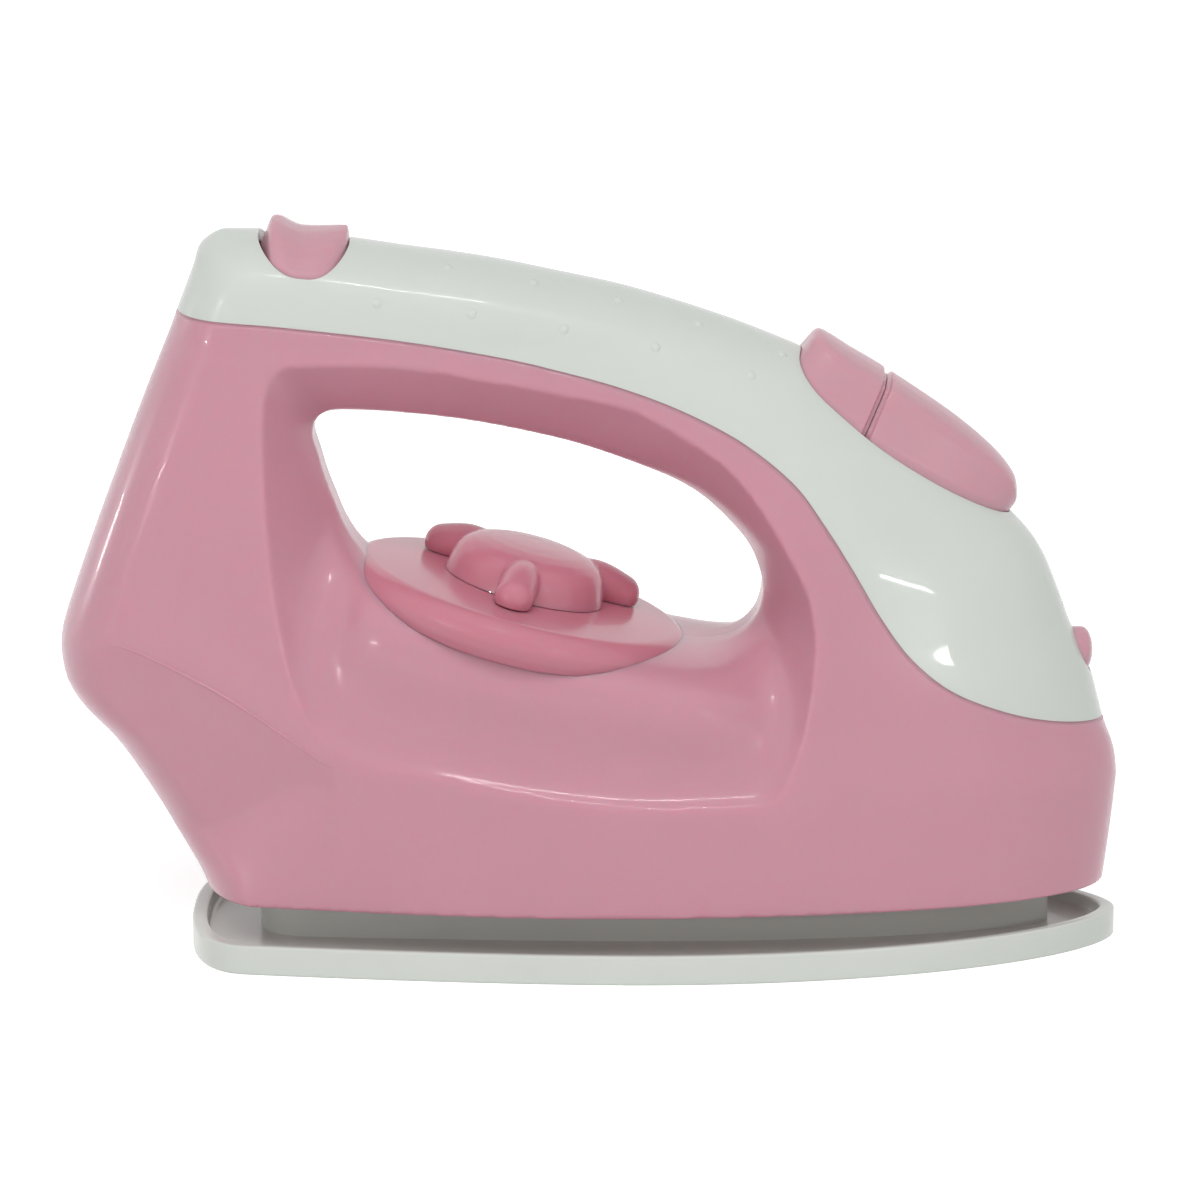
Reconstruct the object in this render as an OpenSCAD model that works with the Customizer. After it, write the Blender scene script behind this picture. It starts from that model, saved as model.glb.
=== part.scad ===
// Toy iron: two moulded housing halves, a saddle-shaped top cover, a rimmed soleplate,
// a dial on the deck under the handle and three sprung buttons.
// The nose points along +X, +Z is up, and the two halves part on the plane Y = 0.

/* [Body] */
// Length of the body, from the rear corner to the nose
body_l = 180; // [150:1:220]
// Width between the flanks, before the ends are rounded
body_w = 62; // [54:1:72]
// Height of the top cover above the table
body_h = 122.5; // [108:0.5:140]
// Wall thickness of the moulded shells
wall = 2; // [1.6:0.1:2.4]
// Height of the body's lower edge above the table
lift = 10; // [9:0.5:12]
// Gap along the seam between the cover and the housing
seam_gap = 0.3; // [0.2:0.05:0.5]

/* [Handle] */
// Width of the handle
handle_w = 28; // [24:0.5:32]
// Width of the straight throat of the handle opening
throat_w = 10; // [8:0.5:12]

/* [Sole] */
// Length of the soleplate
sole_l = 158; // [140:1:175]
// Width of the soleplate
sole_w = 68; // [60:1:78]
// Height of the soleplate's rim
rim_h = 5; // [4:0.25:6.5]
// Thickness of the rim
rim_t = 1.6; // [1.2:0.1:2]
// Thickness of the soleplate's floor
floor_t = 2.4; // [2:0.1:3]

/* [Dial] */
// Diameter of the dial plate
plate_d = 60; // [54:1:62]
// Thickness of the dial plate
plate_t = 7.4; // [7:0.1:9]
// Slope of the dial towards the nose, in degrees
dial_tilt = 15; // [12:0.5:17]
// Reach of the knob's lobes from its axis
lobe_r = 20; // [16:0.5:22]
// Width of each lobe
lobe_w = 6; // [4:0.2:7]
// Height of the knob above the dial plate
knob_h = 7.8; // [6:0.2:9]
// Radius of the knob's stem
stem_r = 3; // [2.5:0.1:3.5]

/* [Buttons] */
// Length of the pair of front buttons along the slope
caps_l = 45; // [40:0.5:48]
// Width of the front buttons
caps_w = 22; // [18:0.5:24]
// Height of the front buttons above the cover
caps_h = 6.5; // [5:0.25:8]
// Slope of the front buttons, in degrees
caps_slope = 38; // [34:0.5:42]
// Length of the thumb button along the handle
thumb_l = 15.2; // [13:0.2:18]
// Height of the thumb button's peak above the cover
thumb_h = 3.1; // [2.4:0.1:4]
// Travel of every button
travel = 2; // [1:0.1:2.2]
// Clearance round each button
button_gap = 0.35; // [0.25:0.05:0.5]
// Radius of the buttons' stems
pin_r = 2; // [1.6:0.1:2.2]
// Radius of the spray nozzle
nozzle_r = 3.4; // [2.8:0.1:3.8]

/* [Fixings] */
// Radius of the screw posts
post_r = 3; // [2.6:0.1:3.6]
// Radius of the screw shanks
screw_r = 1.25; // [1:0.05:1.5]
// Radius of the screw heads
head_r = 2.4; // [2:0.1:2.6]

/* [Hidden] */

pink = [0.86, 0.55, 0.63];
deep_pink = [0.88, 0.52, 0.61];
white = [0.93, 0.94, 0.92];
steel = [0.72, 0.73, 0.75];

half_l = body_l/2;
half_w = body_w/2;
over = 1;
fit_gap = 0.3;
run_gap = 0.06;

// Side view of the body, as shares of half the length and of the height
rear_low_shares = [[-0.728, 0.082], [-0.745, 0.110], [-0.783, 0.156], [-0.856, 0.243],
                   [-0.905, 0.293], [-0.960, 0.335], [-0.990, 0.372], [-1.000, 0.412]];
rear_high_shares = [[-1.000, 0.412], [-0.998, 0.438], [-0.986, 0.470], [-0.962, 0.522],
                    [-0.923, 0.602], [-0.844, 0.756], [-0.787, 0.860], [-0.767, 0.900],
                    [-0.742, 0.948], [-0.727, 0.980], [-0.690, 1.000]];
nose_low_shares = [[0.976, 0.082], [0.990, 0.162], [1.000, 0.234]];
nose_high_shares = [[1.000, 0.234], [0.994, 0.270], [0.973, 0.312], [0.943, 0.392],
                    [0.906, 0.450], [0.888, 0.487], [0.849, 0.554], [0.796, 0.602],
                    [0.697, 0.664], [0.582, 0.730], [0.484, 0.788], [0.393, 0.836]];
top_shares = [[0.393, 0.836], [0.281, 0.869], [0.169, 0.897], [0.057, 0.921], [-0.056, 0.939],
              [-0.168, 0.956], [-0.261, 0.967], [-0.354, 0.976], [-0.448, 0.986],
              [-0.578, 0.996], [-0.690, 1.000]];
// Crease and shoulder line, from the rear corner to the nose
shoulder_shares = [[-1.000, 0.412], [-0.944, 0.434], [-0.873, 0.443], [-0.726, 0.399],
                   [-0.633, 0.361], [-0.540, 0.316], [-0.478, 0.290], [-0.351, 0.280],
                   [-0.167, 0.256], [0.093, 0.231], [0.333, 0.226], [0.567, 0.233],
                   [0.811, 0.238], [1.000, 0.234]];
// Seam between the cover and the housing
seam_shares = [[-1.100, 0.893], [-0.760, 0.888], [-0.640, 0.883], [-0.536, 0.876],
               [-0.351, 0.860], [-0.167, 0.838], [-0.056, 0.820], [0.056, 0.798],
               [0.167, 0.768], [0.278, 0.726], [0.372, 0.672], [0.428, 0.619], [0.482, 0.557],
               [0.539, 0.486], [0.596, 0.430], [0.670, 0.385], [0.763, 0.353], [0.863, 0.330],
               [0.978, 0.314], [1.100, 0.308]];
// Depth of the rounding behind the nose and top line, by height
round_shares = [[0, 0.89], [0.234, 0.89], [0.49, 0.555], [0.61, 0.355], [0.72, 0.245],
                [0.775, 0.19], [0.857, 0.122], [1, 0.10]];
// Rounding at the rear, as a share of half the length
rear_round_share = 0.10;
// Where the half width starts to fall towards the rear, and over what length
full_width_share = 0.095;
taper_share = 0.822;
// Fall in half width at the rear and draft of the skirt, as shares of the half width
narrow_share = 0.339;
draft_share = 0.032;
// Height of the handle's full side, and where the rear facet starts
handle_share = 0.857;
facet_share = -0.478;
// Lean of the rear facet and of the skirt under it
facet_lean = 0.232;
skirt_lean = 0.42;
lean_span_share = 0.233;

// Handle opening, one row a rib: throat x and z, outer edge x and z, how much it is deck
opening_shares = [
    [-0.519, 0.718, -0.609, 0.740, 0], [-0.513, 0.739, -0.606, 0.782, 0],
    [-0.496, 0.750, -0.583, 0.804, 0], [-0.460, 0.754, -0.537, 0.814, 0],
    [-0.357, 0.750, -0.351, 0.805, 0], [-0.244, 0.741, -0.167, 0.784, 0],
    [-0.131, 0.726, -0.050, 0.765, 0], [-0.019, 0.706, 0.060, 0.738, 0],
    [0.094, 0.677, 0.150, 0.704, 0], [0.170, 0.653, 0.225, 0.660, 0],
    [0.226, 0.625, 0.290, 0.615, 0], [0.283, 0.582, 0.338, 0.560, 0],
    [0.309, 0.551, 0.370, 0.505, 0], [0.324, 0.514, 0.388, 0.455, 0],
    [0.323, 0.488, 0.390, 0.405, 0], [0.311, 0.462, 0.385, 0.357, 0.1],
    [0.283, 0.440, 0.374, 0.305, 0.4], [0.246, 0.429, 0.338, 0.254, 0.8],
    [0.189, 0.428, 0.220, 0.237, 1], [0.060, 0.449, 0.070, 0.238, 1],
    [-0.100, 0.476, -0.110, 0.254, 1], [-0.260, 0.506, -0.290, 0.279, 1],
    [-0.390, 0.535, -0.430, 0.300, 0.9], [-0.432, 0.560, -0.510, 0.335, 0.5],
    [-0.460, 0.592, -0.548, 0.385, 0.2], [-0.480, 0.628, -0.572, 0.450, 0],
    [-0.495, 0.657, -0.590, 0.530, 0], [-0.508, 0.690, -0.604, 0.630, 0]];
// Rib curve controls: [share along, share across] for a bevel and for the deck side
bevel_shares = [[0.12, 0.40], [0.62, 0.72]];
deck_shares = [[0.02, 1.55], [0.62, 0.56]];
rib_levels = [0, 0.13, 0.3, 0.52, 0.76, 1];

function mix(a, b, t) = a + (b - a)*t;
function clamp(t) = max(0, min(1, t));
function closing(d, a) = sqrt(1 - pow(1 - clamp(d/a), 2));
function at(p, i) = p[max(0, min(len(p) - 1, i))];
function bend(a, b, c, d, t) = (2*b + (c - a)*t + (2*a - 5*b + 4*c - d)*t*t
                                + (3*b - a - 3*c + d)*t*t*t)/2;
function smooth(p, n) = [for (i = [0:len(p) - 2], k = [0:n - 1])
                             bend(at(p, i - 1), p[i], p[i + 1], at(p, i + 2), k/n),
                         p[len(p) - 1]];
function side_view(shares, n = 3) = [for (p = smooth(shares, n)) [p[0]*half_l, p[1]*body_h]];
// Moves a line square to itself, to the left of its direction
function shifted(p, d) = d == 0 ? p : [for (i = [0:len(p) - 1])
    let (v = at(p, i + 1) - at(p, i - 1)) p[i] + d*[-v[1], v[0]]/norm(v)];
function by_z(p) = [for (q = p) [q[1], q[0]]];
function backward(p) = [for (i = [len(p) - 1:-1:0]) p[i]];
function last(p) = p[len(p) - 1];

rear_line = concat(side_view(rear_low_shares), side_view(rear_high_shares));
nose_line = concat(side_view(nose_low_shares), side_view(nose_high_shares));
top_line = side_view(top_shares);
shoulder_line = side_view(shoulder_shares);
seam_line = side_view(seam_shares);
round_line = [for (p = round_shares) [p[0]*body_h, p[1]*half_l]];

// Outlines of the solid form (0) and of its cavity (1)
rears = [by_z(rear_line), by_z(shifted(rear_line, -wall))];
fronts = [by_z(concat(nose_line, top_line)), by_z(shifted(concat(nose_line, top_line), wall))];
tops = [backward(concat(side_view(nose_high_shares), top_line)),
        backward(shifted(concat(side_view(nose_high_shares), top_line), wall))];

function shoulder_z(x) = lookup(x, shoulder_line);
function shoulder_y(x) = half_w*(1 - narrow_share
    *pow(max(0, full_width_share - x/half_l)/taper_share, 1.6));
function skirt_slope(x) = skirt_lean*pow(clamp((facet_share - x/half_l)/lean_span_share), 2);
function skirt(x, z) = shoulder_y(x) - half_w*draft_share - (z - lift)*skirt_slope(x);
function facet(x, z) = shoulder_y(x) - facet_lean*(shoulder_z(x) - z);
// Height of the crease where the rear facet meets the skirt
function crease_z(x) = let (t = skirt_slope(x))
    (facet_lean*shoulder_z(x) - half_w*draft_share + lift*t)/(facet_lean + t);
function low_side(x, z) = x < facet_share*half_l ? max(facet(x, z), skirt(x, z))
    : shoulder_y(x) - half_w*draft_share*(shoulder_z(x) - z)/(shoulder_z(x) - lift);
function high_side(x, z) = mix(shoulder_y(x), handle_w/2,
    pow(clamp((z - shoulder_z(x))/(handle_share*body_h - shoulder_z(x))), 1.3));
function side(x, z) = z < shoulder_z(x) ? low_side(x, z) : high_side(x, z);
function edge_distance(x, z, k) = let (a = max(0, lookup(z, fronts[k]) - x),
    b = max(0, lookup(x, tops[k]) - z)) a*b == 0 ? 0 : a*b/norm([a, b]);
// Half width of the form at a point of the side view
function half_at(x, z, k = 0) = (side(x, z) - k*wall*(1 + 0.6*clamp((facet_share - x/half_l)/0.1)
                                                    *clamp((shoulder_z(x) - z)/(0.1*body_h))))
    *closing(x - lookup(z, rears[k]), rear_round_share*half_l - k*wall)
    *closing(edge_distance(x, z, k), lookup(z, round_line) - k*wall);

// Point of a patch between a left, right, lower and upper border point and its corners
function patch(l, r, b, t, bl, br, tl, tr, s, u) =
    mix(l, r, s) + mix(b, t, u) - mix(mix(bl, br, s), mix(tl, tr, s), u);
function rear_point(z, k) = [lookup(z, rears[k]), z];
function front_point(z, k) = [lookup(z, fronts[k]), z];
function spread(i, n) = (1 - cos(180*i/n))/2;
function settle(z, line, n) = n == 0 ? z : settle(crease_z(lookup(z, line)), line, n - 1);

rear_corner_z = rear_high_shares[0][1]*body_h;
kink_z = nose_high_shares[0][1]*body_h;
front_top_z = top_shares[0][1]*body_h;

// Row of a band between two lines; low and high hold their heights at the rear and the nose
function row(k, u, n, low, high, low_line, high_line) = let (
    bl = rear_point(low[0], k), br = front_point(low[1], k),
    tl = rear_point(high[0], k), tr = front_point(high[1], k),
    l = rear_point(mix(low[0], high[0], u), k), r = front_point(mix(low[1], high[1], u), k))
    [for (i = [0:n]) let (s = spread(i, n), b = mix(bl[0], br[0], s), t = mix(tl[0], tr[0], s))
        patch(l, r, [b, low_line(b)], [t, high_line(t)], bl, br, tl, tr, s, u)];
// Rows of the form in three bands: skirt, rear facet, and up to the top line
function form_rows(k, n, low_n, high_n) = let (
    z0 = lift + k*wall,
    foot = function (x) z0,
    crease = function (x) crease_z(x),
    shoulder = function (x) shoulder_z(x),
    top = function (x) lookup(x, tops[k]),
    c = [settle(0.2*body_h, rears[k], 8), settle(0.2*body_h, fronts[k], 8)],
    h = [rear_corner_z, kink_z],
    t = [last(rears[k])[0], front_top_z - k*wall])
    concat([for (j = [0:low_n - 1]) row(k, j/low_n, n, [z0, z0], c, foot, crease)],
           [for (j = [0:2*low_n - 1]) row(k, j/low_n/2, n, c, h, crease, shoulder)],
           [for (j = [0:high_n]) row(k, sin(90*j/high_n), n, h, t, shoulder, top)]);

// Half of the form on the -Y side, from its rows
module half_form(k, n, low_n, high_n) {
    rows = form_rows(k, n, low_n, high_n);
    m = len(rows);
    points = [for (j = [0:m - 1], i = [0:n]) let (p = rows[j][i])
        [p[0], i == 0 || i == n || j == m - 1 ? 0 : -half_at(p[0], p[1], k), p[1]]];
    skin = [for (j = [0:m - 2], i = [0:n - 1]) let (a = j*(n + 1) + i, b = a + n + 1)
        each [[a, b + 1, a + 1], [a, b, b + 1]]];
    rim = concat([for (j = [0:m - 1]) j*(n + 1)], [for (i = [1:n]) (m - 1)*(n + 1) + i],
                 [for (j = [m - 2:-1:0]) j*(n + 1) + n]);
    polyhedron(points, concat(skin, [backward(rim)], [[for (i = [0:n]) i]]), convexity = 8);
}

// Tool for the handle opening and the scooped flanks; grow moves its walls into the plastic
module opening_tool(grow = 0, fine = 2) {
    ribs = smooth(concat([last(opening_shares)], opening_shares,
                         [opening_shares[0], opening_shares[1]]), fine);
    n = fine*len(opening_shares);
    far_y = half_w + 2*wall + over;
    rings = [for (v = rib_levels) [for (i = [0:n - 1]) let (
        r = ribs[i + fine],
        a = [r[0]*half_l, r[1]*body_h],
        d = [r[2]*half_l, r[3]*body_h],
        out = (d - a)/norm(d - a),
        ya = throat_w/2,
        yd = half_at(d[0], d[1]),
        c1 = mix(bevel_shares[0], deck_shares[0], clamp(r[4])),
        c2 = mix(bevel_shares[1], deck_shares[1], clamp(r[4])),
        along = 3*v*(1 - v)*((1 - v)*c1[0] + v*c2[0]) + v*v*v,
        across = 3*v*(1 - v)*((1 - v)*c1[1] + v*c2[1]) + v*v*v,
        p = mix(a, d, along) + grow*out)
        [p[0], max(0.4*ya, mix(ya, yd, across) - 0.8*grow), p[1]]]];
    edge = last(rings);
    prev = rings[len(rings) - 2];
    outer = [for (i = [0:n - 1]) let (v = (edge[i] - prev[i])/max(0.2*wall, edge[i][1] - prev[i][1]))
        edge[i] + v*(far_y - edge[i][1])];
    sides = concat([outer], backward(rings));
    all = concat([for (r = sides) [for (p = r) [p[0], -p[1], p[2]]]], backward(sides));
    m = len(all);
    points = [for (r = all) each r];
    walls = [for (j = [0:m - 2], i = [0:n - 1]) let (a = j*n + i, b = j*n + (i + 1)%n)
        each [[a, b + n, b], [a, a + n, b + n]]];
    polyhedron(points, concat(walls, [[for (i = [0:n - 1]) i]],
                              [[for (i = [n - 1:-1:0]) (m - 1)*n + i]]), convexity = 8);
}

// Everything above the seam, grown by a gap
module above_seam(gap) {
    line = shifted(seam_line, gap);
    rotate([90, 0, 0]) linear_extrude(2*body_w, center = true)
        polygon(concat(line, [[body_l, 2*body_h], [-body_l, 2*body_h]]));
}

module form(k, n, low_n, high_n) {
    half_form(k, n, low_n, high_n);
    mirror([0, 1, 0]) half_form(k, n, low_n, high_n);
}

// Places along the body, as shares of half the length and of the height
post_shares = [[-0.722, 0.767], [-0.811, 0.473], [-0.511, 0.261], [0.222, 0.278],
               [0.489, 0.351], [0.822, 0.278]];

tab_shares = [-0.58, -0.20, 0.06, 0.72];
// Inset of the soleplate's plinth, as shares of half its width and of half the body's length
plinth_inset_shares = [0.57, 0.127];
plinth_half = sole_w/2*(1 - plinth_inset_shares[0]) - wall;
// Soleplate screws, as shares of its length behind the nose and of the room in its plinth
sole_post_shares = [[0.854, 0.4913], [0.380, 0.7124]];
sole_post_places = [for (p = sole_post_shares, m = [-1, 1])
    [half_l - p[0]*sole_l, m*p[1]*plinth_half]];

post_l = 8;
screw_l = 17;
thread_gap = 0.05;
head_t = 1.8;
gusset_t = 1.2;
tab_w = 6;
tab_t = 1.2;
tab_reach = 3;
tab_root = 4;
tab_step = 0.25;
dot = 0.3;

// Dial: the plate's top stands over the deck, square to its tilted axis
dial_x = -0.125*half_l;
dial_z = 0.498*body_h;
hub_wall = 4;
hub_r = stem_r + hub_wall;
hub_l = 5;
flange_r = hub_r + wall;
flange_t = 2.7;
washer_t = 1;
dial_screw_r = 1.2;
module at_dial() {
    translate([dial_x, 0, dial_z]) rotate([0, dial_tilt, 0]) children();
}

// Pocket and hub hole for the dial plate; grow leaves plastic round them
module dial_pocket(grow = 0) {
    at_dial() {
        translate([0, 0, -plate_t - grow])
            cylinder(h = plate_t + fit_gap + 2*grow, r = plate_d/2 + fit_gap + grow, $fn = 72);
        if (grow == 0)
            translate([0, 0, -plate_t - 2*wall]) cylinder(h = 3*wall, r = hub_r + fit_gap, $fn = 48);
    }
}

// Slope of the front buttons, set on the cover's top line
caps_x = 0.556*half_l;
caps_z = lookup(caps_x, tops[0]);
caps_deep = 7;
caps_shares = [-0.40, 0.60];
groove_share = -0.057;
groove_w = 1.3;
groove_lean = 13;
stem_shares = [-0.235, 0.26];
// Half width, crown and foot of the front buttons along their length
caps_plan_shares = [[-0.400, 0.28], [-0.393, 0.52], [-0.370, 0.70], [-0.330, 0.83],
                    [-0.270, 0.92], [-0.180, 0.97], [0.000, 1.00], [0.180, 0.95],
                    [0.333, 0.85], [0.440, 0.72], [0.511, 0.58], [0.560, 0.42],
                    [0.588, 0.25], [0.600, 0.10]];
caps_crown_shares = [[-0.400, 0.52], [-0.385, 0.64], [-0.330, 0.70], [-0.258, 0.74],
                     [-0.110, 0.87], [0.133, 1.00], [0.289, 1.02], [0.422, 0.95], [0.511, 0.80],
                     [0.556, 0.62], [0.593, 0.32], [0.600, 0.20]];
caps_foot_shares = [[-0.400, -0.15], [-0.300, -0.38], [-0.180, -0.46], [0.100, -0.44],
                    [0.300, -0.28], [0.450, -0.08], [0.600, 0.05]];
// Height across a front button, from its crown (0) to its foot (1)
caps_section_shares = [[0, 0], [0.30, 0.05], [0.55, 0.17], [0.74, 0.33], [0.80, 0.43], [1, 1]];
module at_caps() {
    translate([caps_x, 0, caps_z]) rotate([0, caps_slope, 0]) children();
}

// Thumb button, set on the top of the handle
thumb_x = -0.533*half_l;
thumb_z = lookup(thumb_x, tops[0]);
thumb_span_share = 0.893;
thumb_deep = 8;
thumb_crown_shares = [[-0.500, -0.70], [-0.470, -0.30], [-0.430, 0.10], [-0.370, 0.85],
                      [-0.345, 0.99], [-0.270, 0.99], [-0.200, 0.80], [-0.080, 0.50],
                      [0.020, 0.42], [0.230, 0.42], [0.440, 0.47], [0.480, 0.42], [0.500, -0.30]];
thumb_section_shares = [[0, 0], [0.30, 0.06], [0.50, 0.18], [0.70, 0.38], [0.85, 0.63], [1, 1]];
thumb_drop_share = 2.05;
module at_thumb() {
    translate([thumb_x, 0, thumb_z]) children();
}

function caps_plan(t) = caps_w/2*lookup(t, caps_plan_shares);
function thumb_plan(t) = thumb_span_share*handle_w/2
    *pow(1 - pow(min(1, abs(2*t)), 2.8), 1/2.8);
function caps_top(t, w) = let (c = caps_h*lookup(t, caps_crown_shares),
    f = caps_h*lookup(t, caps_foot_shares))
    mix(c, f, lookup(w, caps_section_shares));
function thumb_top(t, w) = thumb_h*lookup(t, thumb_crown_shares)
    - thumb_h*thumb_drop_share*lookup(w, thumb_section_shares);

// Pressed cap: rows of points across it, with a flat underside and upright walls below
module cap_solid(rows, deep) {
    n = len(rows);
    m = len(rows[0]);
    points = concat([for (r = rows) each r],
                    [for (r = rows) each [for (p = r) [p[0], p[1], -deep]]]);
    top = [for (i = [0:n - 2], j = [0:m - 2]) let (a = i*m + j)
        each [[a, a + 1, a + m + 1], [a, a + m + 1, a + m]]];
    rim = concat([for (j = [0:m - 1]) j], [for (i = [1:n - 1]) i*m + m - 1],
                 [for (j = [m - 2:-1:0]) (n - 1)*m + j], [for (i = [n - 2:-1:1]) i*m]);
    r = len(rim);
    walls = [for (i = [0:r - 1]) let (a = rim[i], b = rim[(i + 1)%r])
        [b, a, n*m + a, n*m + b]];
    polyhedron(points, concat(top, walls, [[for (i = [r - 1:-1:0]) n*m + rim[i]]]), convexity = 4);
}
cap_steps = 5;
function across(i) = sin(90*i/cap_steps);
function caps_rows(a, b, n) = [for (i = [0:n]) let (t = mix(a, b, spread(i, n)), y = caps_plan(t))
    [for (j = [-cap_steps:cap_steps]) [t*caps_l, y*across(j), caps_top(t, abs(across(j)))]]];
function thumb_rows(n) = [for (i = [0:n]) let (t = -0.495*cos(180*i/n), y = thumb_plan(t))
    [for (j = [-cap_steps:cap_steps]) [t*thumb_l, y*across(j), thumb_top(t, abs(across(j)))]]];

// Spring, frame and stem of a button; the button's own centre is the origin
wire_r = 0.35;
coil_gap = 0.65;
spring_r = pin_r + wire_r + coil_gap;
spring_turns = 4;
pocket_r = spring_r + wire_r + fit_gap;
pocket_top = 1;
frame_gap = 0.5;
frame_t = 2;
guide_l = 4.5;
snap_l = 2;
snap_out = 0.6;
slot_w = 0.8;
frame_half_w = 8;
frame_top = caps_deep + travel + frame_gap;
thumb_frame_top = thumb_deep + travel + frame_gap;
pilot_l = 5;

// Stem with a split snap head that stops under its guide
module stem(top) {
    foot = top + frame_t + guide_l + fit_gap;
    difference() {
        union() {
            translate([0, 0, -foot - snap_l])
                cylinder(h = foot + snap_l, r = pin_r, $fn = 40);
            translate([0, 0, -foot - snap_l])
                cylinder(h = snap_l, r1 = pin_r, r2 = pin_r + snap_out, $fn = 40);
        }
        translate([-slot_w/2, -2*pin_r, -foot - snap_l - over])
            cube([slot_w, 4*pin_r, snap_l + guide_l + over]);
    }
}
module stem_pocket(deep) {
    translate([0, 0, -deep - over]) cylinder(h = deep + over - pocket_top, r = pocket_r, $fn = 40);
}
module guide(top) {
    translate([0, 0, -top - frame_t - guide_l])
        cylinder(h = frame_t/2 + guide_l, r = pin_r + wall, $fn = 40);
}
module frame_plate(posts, top) {
    translate([posts[0] - post_r, -frame_half_w, -top - frame_t])
        cube([posts[1] - posts[0] + 2*post_r, 2*frame_half_w, frame_t]);
}
module guide_bore(top) {
    translate([0, 0, -top - frame_t - guide_l - over])
        cylinder(h = frame_t + guide_l + 2*over, r = pin_r + run_gap, $fn = 40);
}
// One unbroken coil between two heights
module coil(z0, z1) {
    n = 9;
    k = 4;
    steps = n*spring_turns;
    rings = [for (i = [0:steps]) let (a = 360*i/n, z = mix(z0 + wire_r, z1 - wire_r, i/steps))
        [for (j = [0:k - 1]) let (b = 360*j/k)
            [(spring_r + wire_r*cos(b))*cos(a), (spring_r + wire_r*cos(b))*sin(a), z + wire_r*sin(b)]]];
    polyhedron([for (r = rings) each r], concat(
        [for (i = [0:steps - 1], j = [0:k - 1]) let (a = i*k + j, b = i*k + (j + 1)%k)
            each [[a, a + k, b + k], [a, b + k, b]]],
        [[for (j = [0:k - 1]) j]], [[for (j = [k - 1:-1:0]) steps*k + j]]), convexity = 10);
}
module spring(top) {
    coil(-top + thread_gap, -pocket_top - thread_gap);
}

// Screws with a domed head at the origin, running down
module screw(l) {
    difference() {
        union() {
            cylinder(h = head_t/2, r = head_r, $fn = 32);
            translate([0, 0, head_t/2]) cylinder(h = head_t/2, r1 = head_r, r2 = head_r/2, $fn = 32);
            translate([0, 0, -l]) cylinder(h = l + head_t/2, r = screw_r, $fn = 24);
        }
        for (a = [0, 90]) rotate([0, 0, a])
            translate([-head_r/2, -slot_w/2, head_t/2]) cube([head_r, slot_w, head_t]);
    }
}

// Screw posts of a housing half with their ribs, standing on its wall
module housing_posts() {
    for (p = post_shares) translate([p[0]*half_l, 0, p[1]*body_h]) {
        rotate([90, 0, 0]) cylinder(h = half_w, r = post_r, $fn = 16);
        for (a = [0, 90]) rotate([0, a, 0]) hull() {
            translate([-2.2*post_r, -half_w, -gusset_t/2]) cube([4.4*post_r, wall, gusset_t]);
            translate([-post_r, -post_l, -gusset_t/2]) cube([2*post_r, gusset_t, gusset_t]);
        }
    }
}
module sole_posts() {
    for (p = sole_post_places)
        translate([p[0], p[1], lift]) cylinder(h = post_l + 2*wall, r = post_r, $fn = 16);
}
module housing_half() {
    difference() {
        intersection() {
            half_form(0, 28, 2, 12);
            union() {
                difference() {
                    translate([-body_l, -body_w, 0]) cube([2*body_l, body_w, 2*body_h]);
                    difference() {
                        form(1, 16, 1, 7);
                        opening_tool(wall, 1);
                        dial_pocket(wall);
                    }
                }
                housing_posts();
                sole_posts();
            }
        }
        opening_tool();
        above_seam(0);
        dial_pocket();
        for (p = sole_post_places) translate([p[0], p[1], lift - over])
            cylinder(h = post_l + wall + over, r = screw_r + thread_gap, $fn = 16);
    }
}
module right_housing() {
    color(pink) difference() {
        housing_half();
        for (p = post_shares) translate([p[0]*half_l, over, p[1]*body_h])
            rotate([90, 0, 0])
                cylinder(h = screw_l - post_l + 2*over, r = screw_r + thread_gap, $fn = 16);
    }
}
module left_housing() {
    color(pink) mirror([0, 1, 0]) difference() {
        housing_half();
        for (p = post_shares) translate([p[0]*half_l, over, p[1]*body_h]) rotate([90, 0, 0]) {
            cylinder(h = body_w, r = screw_r + fit_gap, $fn = 16);
            translate([0, 0, post_l + over]) cylinder(h = body_w, r = head_r + fit_gap, $fn = 16);
        }
    }
}
module housing_screws() {
    color(steel) for (p = post_shares)
        translate([p[0]*half_l, post_l, p[1]*body_h]) rotate([-90, 0, 0]) screw(screw_l);
}

// Tongue of the cover that hooks inside a housing wall, on the -Y side
function seam_z(x) = lookup(x, seam_line);
module tab(x) {
    for (part = [[tab_root, fit_gap, wall/2, 0], [tab_root/2, -tab_reach, -2*fit_gap, tab_step]])
        hull() for (m = [-1, 1], dz = [part[0], part[1]])
            let (px = x + m*(tab_w/2 - part[3]), z = seam_z(x) + dz, y = half_at(px, z, 1),
                 inner = y - 2*fit_gap - tab_t + part[3])
            translate([px, -y - part[2], z]) cube([dot, y + part[2] - inner, dot]);
}
caps_post_shares = [-0.50, 0.70];
thumb_post_shares = [-0.74, 0.77];
module cover_posts() {
    for (t = caps_post_shares) at_caps()
        translate([t*caps_l, 0, -frame_top]) cylinder(h = frame_top, r = post_r, $fn = 16);
    for (t = thumb_post_shares) at_thumb()
        translate([t*thumb_l, 0, -thumb_frame_top]) cylinder(h = thumb_frame_top, r = post_r, $fn = 16);
}
module outline(rows, grow) {
    side = [for (r = rows) [r[0][0], last(r)[1]]];
    offset(delta = grow) polygon(concat(side, [for (p = backward(side)) [p[0], -p[1]]]));
}
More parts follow.
